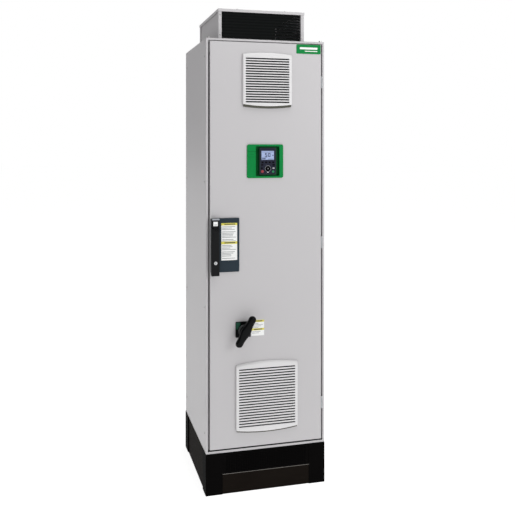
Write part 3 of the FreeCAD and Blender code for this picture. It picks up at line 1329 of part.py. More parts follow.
def check_document():
    """Stop if any object failed or any sub-part isn't a valid shape."""
    for thing in doc.Objects:
        if "Invalid" in thing.State or "Error" in thing.State:
            raise RuntimeError(f"{thing.Name} ({thing.Label}) failed: {thing.State}")
    for thing in NODES:
        if thing.Shape.isNull() or not thing.Shape.isValid() or not thing.Shape.Solids:
            raise RuntimeError(f"{thing.Label} is not a valid solid")


fill_sheet()
for make_piece in PIECES:
    make_piece()
doc.recompute()
check_document()
os.makedirs("parts", exist_ok=True)
for thing in NODES:
    thing.Shape.exportStep(f"parts/{thing.Label}.step")
    bounds = thing.Shape.BoundBox
    print(f"{thing.Label:22s} solids {len(thing.Shape.Solids):3d}  volume {thing.Shape.Volume:12.0f}  "
          f"x {bounds.XMin:7.1f} {bounds.XMax:7.1f}  y {bounds.YMin:7.1f} {bounds.YMax:7.1f}  "
          f"z {bounds.ZMin:7.1f} {bounds.ZMax:7.1f}")
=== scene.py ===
"""Looks of a floor-standing variable frequency drive cabinet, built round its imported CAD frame."""
import bmesh
import bpy
import math
import random
from mathutils import Matrix, Vector


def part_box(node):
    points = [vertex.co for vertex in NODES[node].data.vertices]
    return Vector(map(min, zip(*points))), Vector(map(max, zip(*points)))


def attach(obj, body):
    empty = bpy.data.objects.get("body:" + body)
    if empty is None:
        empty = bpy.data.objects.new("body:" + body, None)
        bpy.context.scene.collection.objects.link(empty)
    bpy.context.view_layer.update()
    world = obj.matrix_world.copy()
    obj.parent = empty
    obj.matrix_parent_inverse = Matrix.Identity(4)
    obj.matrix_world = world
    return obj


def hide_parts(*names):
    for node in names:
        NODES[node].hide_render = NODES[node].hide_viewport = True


MM = 0.001
NEAR = 0.05 * MM  # places closer together than this count as one
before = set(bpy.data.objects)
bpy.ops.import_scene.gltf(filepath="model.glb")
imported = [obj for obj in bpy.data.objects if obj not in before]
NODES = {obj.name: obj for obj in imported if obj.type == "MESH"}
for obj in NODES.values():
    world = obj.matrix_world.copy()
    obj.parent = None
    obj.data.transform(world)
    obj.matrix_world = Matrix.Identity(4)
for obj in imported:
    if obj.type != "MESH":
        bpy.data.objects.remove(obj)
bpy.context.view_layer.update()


# ---------------------------------------------------------------- materials

def colour(red, green, blue):
    """An sRGB colour given 0 to 255, as the linear colour that shaders take."""
    def linear(value):
        value = value / 255
        return value / 12.92 if value <= 0.04045 else ((value + 0.055) / 1.055) ** 2.4
    return (linear(red), linear(green), linear(blue), 1.0)


def shade(base, factor):
    """The same colour, lighter or darker by a factor."""
    return tuple(min(1.0, part * factor) for part in base[:3]) + (1.0,)


def material(name, base, roughness, metallic=0.0, grain=900.0, bump=0.05, vary=0.05, clouds=6.0,
             rough_vary=0.08, stretch=(1, 1, 1), coat=0.0, specular=0.5):
    """Principled surface whose colour, roughness and fine relief vary by noise in object space."""
    made = bpy.data.materials.new(name)
    made.use_nodes = True
    tree = made.node_tree
    links = tree.links
    shader = tree.nodes["Principled BSDF"]
    shader.inputs["Metallic"].default_value = metallic
    shader.inputs["Coat Weight"].default_value = coat
    shader.inputs["Specular IOR Level"].default_value = specular
    where = tree.nodes.new("ShaderNodeTexCoord")
    scale = tree.nodes.new("ShaderNodeMapping")
    scale.inputs["Scale"].default_value = stretch
    links.new(where.outputs["Object"], scale.inputs["Vector"])

    def noise(size, detail):
        node = tree.nodes.new("ShaderNodeTexNoise")
        node.inputs["Scale"].default_value = size
        node.inputs["Detail"].default_value = detail
        links.new(scale.outputs["Vector"], node.inputs["Vector"])
        return node.outputs["Fac"]

    def spread(source, low, high):
        node = tree.nodes.new("ShaderNodeMapRange")
        node.inputs["From Min"].default_value = 0.3
        node.inputs["From Max"].default_value = 0.7
        node.inputs["To Min"].default_value = low
        node.inputs["To Max"].default_value = high
        links.new(source, node.inputs["Value"])
        return node.outputs["Result"]

    ramp = tree.nodes.new("ShaderNodeValToRGB")
    ramp.color_ramp.elements[0].position = 0.3
    ramp.color_ramp.elements[1].position = 0.7
    ramp.color_ramp.elements[0].color = shade(base, 1 - vary)
    ramp.color_ramp.elements[1].color = shade(base, 1 + vary)
    links.new(noise(clouds, 4.0), ramp.inputs["Fac"])
    links.new(ramp.outputs["Color"], shader.inputs["Base Color"])
    fine = noise(grain, 3.0)
    links.new(spread(noise(grain / 6, 3.0), roughness - rough_vary, roughness + rough_vary),
              shader.inputs["Roughness"])
    relief = tree.nodes.new("ShaderNodeBump")
    relief.inputs["Strength"].default_value = bump
    relief.inputs["Distance"].default_value = 0.0006
    links.new(fine, relief.inputs["Height"])
    links.new(relief.outputs["Normal"], shader.inputs["Normal"])
    return made


def light_up(made, base, strength):
    """Give a material a light of its own."""
    shader = made.node_tree.nodes["Principled BSDF"]
    shader.inputs["Emission Color"].default_value = base
    shader.inputs["Emission Strength"].default_value = strength


MATS = {}


def add_look(name, base, roughness, **finish):
    """Make a material and keep it under its name."""
    MATS[name] = material(name, base, roughness, **finish)


def add_glow(name, base, strength, roughness=0.25, specular=0.5):
    """A look with a faint light of its own: the screen's backlight, and a painted glow in the shaded depths
    of the hood.
    """
    add_look(name, base, roughness, grain=2000.0, bump=0.01, vary=0.03, specular=specular)
    light_up(MATS[name], base, strength)


GREY = colour(192, 190, 192)
add_look("cabinet_paint", GREY, 0.42, grain=1400, bump=0.12, vary=0.012, clouds=1.5, rough_vary=0.04)
add_look("plinth_paint", colour(10, 9, 9), 0.62, grain=1200, bump=0.15, vary=0.10, specular=0.01)
# The plinth's panels are drawn a browner, lighter black than its corners: a painted reflection of the
# floor.
add_look("plinth_panel_paint", colour(25, 21, 18), 0.62, grain=1200, bump=0.15, vary=0.08, specular=0.01)
add_look("vent_black", colour(9, 9, 10), 0.7, grain=1200, bump=0.1, vary=0.1, specular=0.01)
# The hood's inside and its blades are drawn near black as painted shade, with a faint painted glow that
# evens their lighting.
add_glow("hood_dark", colour(23, 25, 25), 0.8, roughness=0.85, specular=0.0)
add_glow("blade_shade_and_glow", colour(17, 18, 18), 1.0, roughness=0.85, specular=0.0)
add_look("grip_black", colour(4, 5, 6), 0.2, grain=2200, bump=0.02, vary=0.12, specular=0.1)
add_look("galvanised_steel", colour(176, 179, 182), 0.38, metallic=0.9, grain=500, bump=0.05, vary=0.10,
         clouds=45, rough_vary=0.12)
add_look("screw_steel", colour(188, 188, 186), 0.32, metallic=0.95, grain=900, vary=0.06)
add_look("grey_plastic", colour(219, 218, 219), 0.42, grain=2400, bump=0.08, vary=0.015)
add_look("black_plastic", colour(7, 8, 10), 0.34, grain=2200, bump=0.10, vary=0.12, specular=0.16)
add_look("slate_plastic", colour(38, 50, 59), 0.42, grain=2400, bump=0.06, vary=0.04, specular=0.15)
add_look("green_plastic", colour(0, 128, 60), 0.4, grain=2200, bump=0.05, vary=0.03, specular=0.1)
# A darker copy of the bezel's green: painted shade in its pocket and grooves.
add_look("green_shade", colour(0, 98, 44), 0.5, grain=2200, bump=0.05, vary=0.04, specular=0.1)
add_look("keypad_plastic", colour(30, 48, 44), 0.36, grain=2600, bump=0.04, vary=0.05, specular=0.2)
add_look("key_dark", colour(2, 2, 4), 0.5, grain=2600, bump=0.05, vary=0.05, specular=0.03)
add_look("key_red", colour(150, 50, 58), 0.38, grain=2600, bump=0.04, vary=0.03, specular=0.3)
add_look("key_green", colour(24, 118, 74), 0.38, grain=2600, bump=0.04, vary=0.03, specular=0.3)
add_look("key_white", colour(176, 178, 182), 0.35, grain=2600, bump=0.04, vary=0.02)
add_look("gasket_rubber", colour(34, 34, 35), 0.8, grain=1500, bump=0.4, vary=0.12)
# The filter mats are drawn near black: painted shade for what is seen through the grilles' slots.
add_look("filter_fabric", colour(13, 13, 13), 0.95, grain=1600, bump=0.8, vary=0.12, clouds=240,
         specular=0.02)
add_look("aluminium", colour(200, 202, 205), 0.34, metallic=0.95, grain=300, bump=0.03, vary=0.04,
         stretch=(1, 1, 0.05))
add_look("copper", colour(198, 122, 84), 0.3, metallic=0.95, grain=420, vary=0.08, clouds=30)
add_look("ceramic", colour(226, 220, 205), 0.35, grain=1500, vary=0.03)
add_look("module_grey", colour(84, 88, 94), 0.45, grain=2200, bump=0.1, vary=0.05)
add_look("core_steel", colour(58, 60, 64), 0.5, metallic=0.6, grain=600, bump=0.2, vary=0.15,
         stretch=(0.05, 1, 0.05))
add_look("winding", colour(150, 72, 36), 0.35, grain=500, bump=0.3, vary=0.12, stretch=(0.1, 0.1, 1),
         coat=0.4)
add_look("terminal_beige", colour(186, 184, 174), 0.5, grain=2000, vary=0.04)
# Dark olive for the strips under the grilles' lower edges: painted shade.
add_look("olive_shade", colour(72, 71, 62), 0.7, grain=1500, bump=0.2, vary=0.08)
add_look("chrome", colour(205, 206, 208), 0.3, metallic=1.0, grain=1500, bump=0.02, vary=0.03)
add_look("label_white", colour(240, 241, 240), 0.4, grain=2500, bump=0.02, vary=0.01)
add_look("label_yellow", colour(222, 212, 84), 0.4, grain=2500, bump=0.02, vary=0.02)
add_look("label_grey", colour(128, 132, 134), 0.45, grain=2500, bump=0.02, vary=0.05)
# Dark ink for the stickers' print, also used as painted shade in the screws' cross recesses.
add_look("dark_ink_and_shade", colour(70, 70, 58), 0.5, grain=2500, bump=0.02, vary=0.05)
# Light grey for the isolator hub's ridges: painted highlights.
add_look("ridge_highlight_grey", colour(122, 126, 126), 0.4, grain=2200, bump=0.05, vary=0.05, specular=0.3)
# Light grey for the plinth's joint line: a painted highlight.
add_look("lip_highlight_grey", colour(128, 125, 120), 0.45, grain=1400, bump=0.05, vary=0.06, specular=0.3)
add_look("patch_green", colour(28, 84, 64), 0.45, grain=2200, bump=0.05, vary=0.05, specular=0.3)
add_look("mark_light", colour(158, 162, 170), 0.4, grain=2500, bump=0.02, vary=0.02)
add_glow("screen", colour(150, 166, 204), 0.10)
add_look("screen_dark", colour(26, 36, 80), 0.3, grain=2500, bump=0.02, vary=0.02)
add_look("face_navy", colour(30, 32, 48), 0.34, grain=2600, bump=0.03, vary=0.05, specular=0.12)


# ---------------------------------------------------------------- mesh tools (metres)

def node_box(name):
    """Low and high corners of a node of the frame."""
    low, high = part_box(name)
    return Vector(low), Vector(high)


def island_boxes(name):
    """Low and high corners of each separate solid of a node."""
    bm = bmesh.new()
    bm.from_mesh(NODES[name].data)
    bmesh.ops.remove_doubles(bm, verts=bm.verts, dist=1e-6)
    left = set(bm.verts)
    boxes = []
    while left:
        stack = [left.pop()]
        found = list(stack)
        while stack:
            for line in stack.pop().link_edges:
                for vert in line.verts:
                    if vert in left:
                        left.discard(vert)
                        stack.append(vert)
                        found.append(vert)
        low = Vector([min(vert.co[axis] for vert in found) for axis in range(3)])
        high = Vector([max(vert.co[axis] for vert in found) for axis in range(3)])
        boxes.append((low, high))
    bm.free()
    return sorted(boxes, key=lambda pair: (pair[0].z, pair[0].x, pair[0].y))


def add_box(bm, low, high):
    """A closed box between its low and high corners."""
    verts = [bm.verts.new((x, y, z)) for x in (low[0], high[0]) for y in (low[1], high[1])
             for z in (low[2], high[2])]
    for quad in ((0, 1, 3, 2), (4, 6, 7, 5), (0, 4, 5, 1), (2, 3, 7, 6), (0, 2, 6, 4), (1, 5, 7, 3)):
        bm.faces.new([verts[index] for index in quad])
    return verts


def rounded(centre, width, height, radius, steps=6):
    """Counter-clockwise outline of a rounded rectangle in x and z."""
    points = []
    for turn, (sx, sz) in enumerate(((1, 1), (-1, 1), (-1, -1), (1, -1))):
        cx = centre[0] + sx * (width / 2 - radius)
        cz = centre[1] + sz * (height / 2 - radius)
        for step in range(steps + 1):
            angle = math.radians(90 * turn + 90 * step / steps)
            points.append((cx + radius * math.cos(angle), cz + radius * math.sin(angle)))
    return points


def circle(centre, radius, steps=48):
    """Counter-clockwise outline of a circle in x and z."""
    return [(centre[0] + radius * math.cos(2 * math.pi * step / steps),
             centre[1] + radius * math.sin(2 * math.pi * step / steps)) for step in range(steps)]


def add_prism(bm, outline, front, back):
    """A closed prism from its outline in x and z."""
    near = [bm.verts.new((x, front, z)) for x, z in outline]
    far = [bm.verts.new((x, back, z)) for x, z in outline]
    bm.faces.new(near)
    bm.faces.new(list(reversed(far)))
    total = len(outline)
    for index in range(total):
        after = (index + 1) % total
        bm.faces.new((near[after], near[index], far[index], far[after]))
    return near + far


def add_layers(bm, layers):
    """Walls through a list of (y, outline) layers of equal length, closed at both ends."""
    rings = [[bm.verts.new((x, y, z)) for x, z in outline] for y, outline in layers]
    total = len(rings[0])
    for low, high in zip(rings, rings[1:]):
        for index in range(total):
            after = (index + 1) % total
            bm.faces.new((low[after], low[index], high[index], high[after]))
    bm.faces.new(rings[0])
    bm.faces.new(list(reversed(rings[-1])))


def add_ring(bm, outer, inner, front, back):
    """A prism with one hole; both outlines have the same number of points."""
    loops = [[bm.verts.new((x, y, z)) for x, z in outline]
             for outline, y in ((outer, front), (inner, front), (inner, back), (outer, back))]
    total = len(outer)
    for first, second in ((0, 1), (1, 2), (2, 3), (3, 0)):
        for index in range(total):
            after = (index + 1) % total
            bm.faces.new((loops[first][index], loops[first][after],
                          loops[second][after], loops[second][index]))


def add_lathe(bm, profile, centre, steps=48):
    """A solid turned about a line along Y; profile lists (radius, y) from the axis back to the axis."""
    rings = []
    for radius, y in profile:
        if radius < 1e-6:
            rings.append([bm.verts.new((centre[0], y, centre[1]))])
            continue
        rings.append([bm.verts.new((x, y, z)) for x, z in circle(centre, radius, steps)])
    for low, high in zip(rings, rings[1:]):
        for index in range(steps):
            after = (index + 1) % steps
            corners = [low[index % len(low)], low[after % len(low)],
                       high[after % len(high)], high[index % len(high)]]
            unique = list(dict.fromkeys(corners))
            if len(unique) > 2:
                bm.faces.new(unique)


def piece(name, body, look, build, bevel=0.0, segments=3, angle=35, stands_for=()):
    """Make one object: build(bm) draws it, a bevel softens it, and it rides on a body."""
    bm = bmesh.new()
    build(bm)
    bmesh.ops.recalc_face_normals(bm, faces=bm.faces)
    return finish_piece(name, body, look, bm, bevel, segments, angle, stands_for)


def finish_piece(name, body, look, bm, bevel, segments, angle, stands_for, weigh=None):
    """Write the mesh, weigh its sharp edges for the bevel, and hang it on its body."""
    if bevel:
        weight = bm.edges.layers.float.new("bevel_weight_edge")
        for line in bm.edges:
            if line.is_manifold and line.calc_face_angle(0.0) > math.radians(angle):
                line[weight] = weigh(line) if weigh else 1.0
    mesh = bpy.data.meshes.new(name)
    bm.to_mesh(mesh)
    bm.free()
    made = bpy.data.objects.new(name, mesh)
    bpy.context.scene.collection.objects.link(made)
    mesh.materials.append(MATS[look])
    mesh.shade_smooth()
    mesh.set_sharp_from_angle(angle=math.radians(angle))
    if bevel:
        soft = made.modifiers.new("Edges", "BEVEL")
        soft.width = bevel
        soft.segments = segments
        soft.limit_method = "WEIGHT"
        soft.use_clamp_overlap = False
    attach(made, body)
    if stands_for:
        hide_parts(*stands_for)
    return made


def add_plate(bm, span_x, span_z, front, back, radius=0.6):
    """A thin rounded plate given by its spans in millimetres and its faces in metres."""
    centre = ((span_x[0] + span_x[1]) / 2 * MM, (span_z[0] + span_z[1]) / 2 * MM)
    width, height = (span_x[1] - span_x[0]) * MM, (span_z[1] - span_z[0]) * MM
    add_prism(bm, rounded(centre, width, height, radius * MM, 4), front, back)


def plates(name, body, look, rows, front, back, radius=0.3, bevel=0.0):
    """One piece made of several thin plates; rows lists (span_x, span_z)."""
    def build(bm):
        for span_x, span_z in rows:
            add_plate(bm, span_x, span_z, front, back, radius)
    return piece(name, body, look, build, bevel=bevel, segments=2)


def cad_copy(name, merge_flat=True):
    """A node's mesh, with its flat triangles merged unless a face has holes that cross."""
    bm = bmesh.new()
    bm.from_mesh(NODES[name].data)
    bmesh.ops.remove_doubles(bm, verts=bm.verts, dist=2e-6)
    if merge_flat:
        bmesh.ops.dissolve_limit(bm, angle_limit=math.radians(1.5), verts=bm.verts, edges=bm.edges)
    return bm


def longer_than(length):
    """Bevel only the edges of at least this length, so that small holes keep their shape."""
    return lambda line: 1.0 if line.calc_length() >= length else 0.0


def soften(name, body, look, width, segments=2, longer=0.0, angle=30, weigh=None, merge_flat=True):
    """Replace a node by the same shape with its longer edges rounded."""
    return finish_piece(f"{name}_soft", body, look, cad_copy(name, merge_flat), width, segments, angle,
                        (name,), weigh or longer_than(longer))


def paint(name, look):
    """Give a CAD node that is shown as it is a finished material."""
    for slot in NODES[name].material_slots:
        slot.material = MATS[look]


# ---------------------------------------------------------------- parts carried over from the CAD

LOOK_OF = {name: node.material_slots[0].material.name for name, node in NODES.items()}
for node_name, look in LOOK_OF.items():
    paint(node_name, look)
# The hood's blades, and the housings behind the door's slots, are drawn darker than their CAD colour:
# painted shade, where they lie in shadow.
paint("filter_housings", "module_grey")
paint("hood_louvres", "blade_shade_and_glow")

soften("cabinet_frame", "cabinet", "cabinet_paint", 0.8 * MM, longer=20 * MM)
soften("outer_panels", "cabinet", "cabinet_paint", 1.2 * MM, longer=20 * MM)
soften("roof_panel", "cabinet", "cabinet_paint", 0.6 * MM, longer=20 * MM)
soften("hood_frame", "cabinet", "cabinet_paint", 0.6 * MM, longer=12 * MM)
soften("hood_top_cover", "cabinet", "cabinet_paint", 0.9 * MM, longer=12 * MM)
soften("plinth_corners", "cabinet", "plinth_paint", 1.2 * MM, longer=12 * MM)
soften("plinth_panels", "cabinet", "plinth_panel_paint", 0.6 * MM, longer=12 * MM)


def folded_edge(line):
    """Full weight along the outer folds of the door, a fifth at its cut-outs."""
    low, high = node_box("door_panel")

    def on_fold(vert):
        side = abs(abs(vert.co.x) - high.x) < NEAR
        end = min(abs(vert.co.z - low.z), abs(vert.co.z - high.z)) < NEAR
        return abs(vert.co.y - low.y) < NEAR and (side or end)
    return 1.0 if all(on_fold(vert) for vert in line.verts) else 0.2


soften("door_panel", "door", "cabinet_paint", 2.2 * MM, segments=4, weigh=folded_edge)


def hood_shade_sheets(bm):
    """Dark ribbed screen inside the rear louvres, and a dark ceiling in front of it: sheets of painted
    shade for the hood's unlit inside.
    """
    low, high = node_box("hood_louvres")
    ribs, rib_depth, sheet = 14, 2.5 * MM, 1.2 * MM
    ends = (low.x + 1 * MM, high.x - 1 * MM)
    front = high.y - 27 * MM
    ceiling_back = front - 2.6 * MM
    pitch = (high.z - low.z) / ribs
    outline = []
    for rib in range(ribs):
        z = low.z - 8 * MM + rib * pitch
        outline += [(front, z), (front - rib_depth, z + pitch * 0.35),
                    (front - rib_depth, z + pitch * 0.65)]
    outline.append((front, outline[-1][1] + pitch * 0.35))
    near = [[bm.verts.new((x, y, z)) for y, z in outline] for x in ends]
    far = [[bm.verts.new((x, y + sheet, z)) for y, z in outline] for x in ends]
    for index in range(len(outline) - 1):
        for left, right in (near, far):
            bm.faces.new((left[index], right[index], right[index + 1], left[index + 1]))
        for side in (0, 1):
            bm.faces.new((near[side][index], near[side][index + 1], far[side][index + 1], far[side][index]))
    for index in (0, -1):
        bm.faces.new((near[0][index], near[1][index], far[1][index], far[0][index]))
    ceiling = node_box("hood_top_cover")[1].z - 4 * MM
    add_box(bm, (ends[0], low.y + 24 * MM, ceiling), (ends[1], ceiling_back, ceiling + 1 * MM))
    add_box(bm, (ends[0], ceiling_back, outline[-1][1] - 2 * MM), (ends[1], front, ceiling + 1 * MM))


# The hood's inside is drawn with dark sheets that glow faintly: painted shade and a painted glow.
piece("hood_shade_sheets", "cabinet", "hood_dark", hood_shade_sheets, angle=80)

PANEL_LOW, PANEL_HIGH = node_box("plinth_vent_panel")
LIP_SPAN_X = (PANEL_LOW.x / MM, PANEL_HIGH.x / MM)
LIP_SPAN_Z = (95.4, 97.2)
# A light strip along the plinth's joint: a painted highlight on the lower panel's top edge.
plates("plinth_lip_highlight", "cabinet", "lip_highlight_grey", [(LIP_SPAN_X, LIP_SPAN_Z)],
       PANEL_LOW.y - 0.7 * MM, PANEL_LOW.y + 0.6 * MM, radius=0.2, bevel=0.3 * MM)
# A dark sheet behind the vent panel: painted shade for the plinth's unlit inside.
plates("vent_shade_sheet", "cabinet", "vent_black",
       [((LIP_SPAN_X[0] + 2, LIP_SPAN_X[1] - 2), (PANEL_LOW.z / MM + 3, PANEL_HIGH.z / MM - 2))],
       PANEL_HIGH.y + 0.8 * MM, PANEL_HIGH.y + 2.8 * MM, radius=2)


def sill_shade_band(bm):
    """Dark strip of gasket rubber on the frame's sill, in the gap under the door: painted shade for the
    dark gap.
    """
    frame_low, frame_high = node_box("cabinet_frame")
    sill = frame_low.z + 11 * MM
    add_box(bm, (frame_low.x + 10 * MM, frame_low.y + 0.6 * MM, sill),
            (frame_high.x - 10 * MM, frame_low.y + 19.4 * MM, sill + 2.2 * MM))


piece("sill_shade_band", "cabinet", "gasket_rubber", sill_shade_band, bevel=0.6 * MM, segments=2)


# ---------------------------------------------------------------- filter grilles

DOOR_FACE = node_box("door_panel")[0].y
GRILLE_FRONT = node_box("filter_grilles")[0].y
# Sizes in millimetres; x from the door's middle, z from the ground.
GRILLES = [
    {"name": "upper", "x": 2, "z": 2000, "width": 248, "height": 257, "bow": 8, "slots": 18,
     "pitch": 12.4, "slot_height": 6.8, "lip": 11, "slope": 9.5, "slope_depth": 6},
    {"name": "lower", "x": 0.5, "z": 459.5, "width": 311, "height": 323, "bow": 11, "slots": 22,
     "pitch": 13.1, "slot_height": 6.0, "lip": 5, "slope": 10.5, "slope_depth": 7.5},
]


def bowed_outline(spec, inset, drop, levels, corner=6, steps=20, turns=4):
    """Outline of a cover with arched top and bottom and one point a side at each slot level.

    Returns the points counter-clockwise from the lowest slot level on the right, in millimetres,
    and the index of the highest level's point on the left. The top edge comes down by drop.
    """
    half_width = spec["width"] / 2 - inset
    bottom = spec["height"] / 2 - inset - spec["lip"]
    top = spec["height"] / 2 - inset - drop
    reach = half_width - corner
    points = [(half_width, level) for level in levels]

    def corner_arc(x, z, quarter):
        for turn in range(turns + 1):
            angle = math.pi / 2 * (quarter + turn / turns)
            points.append((x + corner * math.cos(angle), z + corner * math.sin(angle)))

    def arched_edge(way, edge):
        for step in range(1, steps):
            x = way * (2 * reach * step / steps - reach)
            points.append((x, edge - way * spec["bow"] * (1 - (x / reach) ** 2)))

    corner_arc(reach, top - corner, 0)
    arched_edge(-1, top)
    corner_arc(-reach, top - corner, 1)
    left_start = len(points)
    points += [(-half_width, level) for level in reversed(levels)]
    corner_arc(-reach, corner - bottom, 2)
    arched_edge(1, -bottom)
    corner_arc(reach, corner - bottom, 3)
    return points, left_start


def slot_halves(half_width, height, level, turns=5):
    """Lower and upper halves of a slot with round ends, both from its left tip to its right tip."""
    radius = height / 2
    halves = []
    for way in (-1, 1):
        left = [(-half_width + radius - radius * math.cos(math.pi / 2 * turn / turns),
                 level + way * radius * math.sin(math.pi / 2 * turn / turns)) for turn in range(turns + 1)]
        halves.append(left + [(-x, z) for x, z in reversed(left)])
    return halves


def grille_body(bm, spec):
    """Moulded cover: rounded front, slots as tunnels that rise inwards, and an open back."""
    levels = [(index - (spec["slots"] - 1) / 2) * spec["pitch"] for index in range(spec["slots"])]
    last = len(levels) - 1
    depth = (DOOR_FACE - GRILLE_FRONT) / MM
    wall, plate, rise, margin = 2.0, 1.6, 0.3, 13.0
    slope, deep = spec["slope"], spec["slope_depth"]
    # Each layer is how far back it lies, how far in its outline is, and how far its top comes down.
    layers = [(0.0, 2.6, slope), (0.35, 1.3, slope * 0.86), (1.2, 0.4, slope * 0.66),
              (3.0, 0.0, slope * 0.40), (deep, 0.0, slope * 0.08), (deep + 1.5, 0.0, 0.0),
              (depth, 0.0, 0.0), (depth, wall, 0.0), (plate, wall, slope)]

    def vertex(point, back):
        return bm.verts.new(((spec["x"] + point[0]) * MM, GRILLE_FRONT + back * MM,
                             (spec["z"] + point[1]) * MM))

    loops = []
    for back, inset, drop in layers:
        points, left_start = bowed_outline(spec, inset, drop, levels)
        loops.append([vertex(point, back) for point in points])
    total = len(loops[0])
    for near, far in zip(loops, loops[1:]):
        for index in range(total):
            after = (index + 1) % total
            bm.faces.new((near[index], near[after], far[after], far[index]))
    half = spec["width"] / 2 - margin
    slots = []
    for loop, back, lift in ((loops[0], 0.0, 0.0), (loops[-1], plate, rise)):
        rows = []
        for level in levels:
            lower, upper = slot_halves(half, spec["slot_height"], level + lift)
            lower = [vertex(point, back) for point in lower]
            upper = [lower[0]] + [vertex(point, back) for point in upper[1:-1]] + [lower[-1]]
            rows.append((lower, upper))
        slots.append(rows)
        right = loop[:last + 1]
        left = [loop[left_start + last - index] for index in range(last + 1)]
        for index in range(last):
            bm.faces.new([left[index]] + rows[index][1] + [right[index], right[index + 1]]
                         + list(reversed(rows[index + 1][0])) + [left[index + 1]])
        bm.faces.new([left[-1]] + rows[-1][1] + loop[last:left_start])
        bm.faces.new(loop[left_start + last:] + [right[0]] + list(reversed(rows[0][0])))
    for near, far in zip(*slots):
        for near_half, far_half in zip(near, far):
            for index in range(len(near_half) - 1):
                bm.faces.new((near_half[index], near_half[index + 1],
                              far_half[index + 1], far_half[index]))


def lower_edge_shade(bm, spec):
    """Dark olive strip along the cover's lower edge, following its curve: painted shade for the shaded
    recess under that edge.
    """
    reach = spec["width"] / 2 - 4
    steps = 20
    upper, lower = [], []
    for step in range(steps + 1):
        x = -reach + 2 * reach * step / steps
        z = -spec["height"] / 2 - spec["bow"] * (1 - (x / reach) ** 2)
        upper.append(((spec["x"] + x) * MM, (spec["z"] + z + spec["lip"] + 0.6) * MM))
        lower.append(((spec["x"] + x) * MM, (spec["z"] + z + 0.3) * MM))
    add_prism(bm, lower + list(reversed(upper)), GRILLE_FRONT + 2.0 * MM, DOOR_FACE)


for spec in GRILLES:
    piece(f"grille_{spec['name']}", "door", "grey_plastic", lambda bm: grille_body(bm, spec),
          bevel=0.4 * MM, segments=2, angle=50, stands_for=("filter_grilles",))
    piece(f"grille_{spec['name']}_shade_band", "door", "olive_shade", lambda bm: lower_edge_shade(bm, spec),
          bevel=0.5 * MM, segments=2)


# ---------------------------------------------------------------- filter mats

def mat_pad(bm, low, high, seed):
    """A lofty fibre pad: crowned front, pinched rim, uneven surface."""
    columns, thick = 36, high.y - low.y
    rng = random.Random(seed)
    waves = [(rng.uniform(30, 90), rng.uniform(30, 90), rng.uniform(0, 6), rng.uniform(0.1, 0.3) * MM)
             for _ in range(6)]
    sheets = []
    for side in (0, 1):
        rows = []
        for row in range(columns + 1):
            line = []
            for column in range(columns + 1):
                u, v = column / columns, row / columns
                rim = min(1.0, 8 * min(u, v, 1 - u, 1 - v)) ** 0.5
                x = low.x + (high.x - low.x) * u
                z = low.z + (high.z - low.z) * v
                ripple = sum(size * math.sin(a * x + b * z + c) for a, b, c, size in waves)
                inset = thick * (0.30 - 0.28 * rim) + abs(ripple) * rim
                y = low.y + inset if side == 0 else high.y - inset
                line.append(bm.verts.new((x, y, z)))
            rows.append(line)
        sheets.append(rows)
        for row in range(columns):
            for column in range(columns):
                bm.faces.new((rows[row][column], rows[row][column + 1], rows[row + 1][column + 1],
                              rows[row + 1][column]))
    edge = []
    for rows in sheets:
        edge.append(rows[0][:-1] + [line[-1] for line in rows[:-1]] + rows[-1][:0:-1]
                    + [line[0] for line in rows[:0:-1]])
    total = len(edge[0])
    for index in range(total):
        after = (index + 1) % total
        bm.faces.new((edge[0][index], edge[0][after], edge[1][after], edge[1][index]))


for index, (low, high) in enumerate(island_boxes("filter_mats")):
    mat = piece(f"filter_mat_{index}", "door", "filter_fabric", lambda bm: mat_pad(bm, low, high, index),
                angle=80, stands_for=("filter_mats",))


# ---------------------------------------------------------------- stickers and the sign

def sticker(name, body, span_x, span_z, face, bands, seed, line_height=2.4, pitch=6.6):
    """White information sticker with coloured bands and plain grey bars in place of text."""
    sheet, ink = face - 0.3 * MM, face - 0.4 * MM
    margin = 4
    plates(name, body, "label_white", [(span_x, span_z)], sheet, face, radius=1.5)
    plates(f"{name}_bands", body, "label_yellow", [(span_x, band) for band in bands], ink, sheet)
    rng = random.Random(seed)
    left, right = span_x[0] + margin, span_x[1] - margin
    ends = sorted([span_z[0], span_z[1]] + [end for band in bands for end in band])
    rows, heads = [], []
    for low, high in zip(ends, ends[1:]):
        in_band = any(abs(low - band[0]) < 0.01 and abs(high - band[1]) < 0.01 for band in bands)
        if in_band:
            middle, tall = (low + high) / 2, (high - low) * 0.22
            heads.append(((left + (right - left) * 0.16, right - 5), (middle - tall, middle + tall)))
            continue
        z = high - pitch
        while z > low + line_height:
            end = left + (right - left) * rng.uniform(0.55, 1.0)
            rows.append(((left, end), (z - line_height / 2, z + line_height / 2)))
            z -= pitch * (1.0 if rng.random() < 0.7 else 1.7)
    plates(f"{name}_lines", body, "label_grey", rows, ink, sheet)
    plates(f"{name}_heads", body, "dark_ink_and_shade", heads, ink - 0.1 * MM, ink)


LOCK_FACE = node_box("lock_plate")[0].y
sticker("lock_sticker", "door", span_x=(-228, -150), span_z=(1130, 1309), face=LOCK_FACE,
        bands=[(1208, 1220), (1298, 1309)], seed=4)
sticker("switch_sticker", "door", span_x=(-78, -13), span_z=(756, 832), face=DOOR_FACE,
        bands=[(782, 792), (822, 832)], seed=9, line_height=2.0, pitch=6.5)

soften("sign_plate", "door", "green_plastic", 0.5 * MM)
SIGN_LOW, SIGN_HIGH = node_box("sign_plate")
SIGN_Z = (SIGN_LOW.z + SIGN_HIGH.z) / 2 / MM
SIGN_BARS = [((170, 262), (SIGN_Z - 1, SIGN_Z + 9)), ((196, 262), (SIGN_Z - 12, SIGN_Z - 8))]
plates("sign_bars", "door", "label_white", SIGN_BARS, SIGN_LOW.y - 0.4 * MM, SIGN_LOW.y, radius=2.0)


# ---------------------------------------------------------------- operator panel

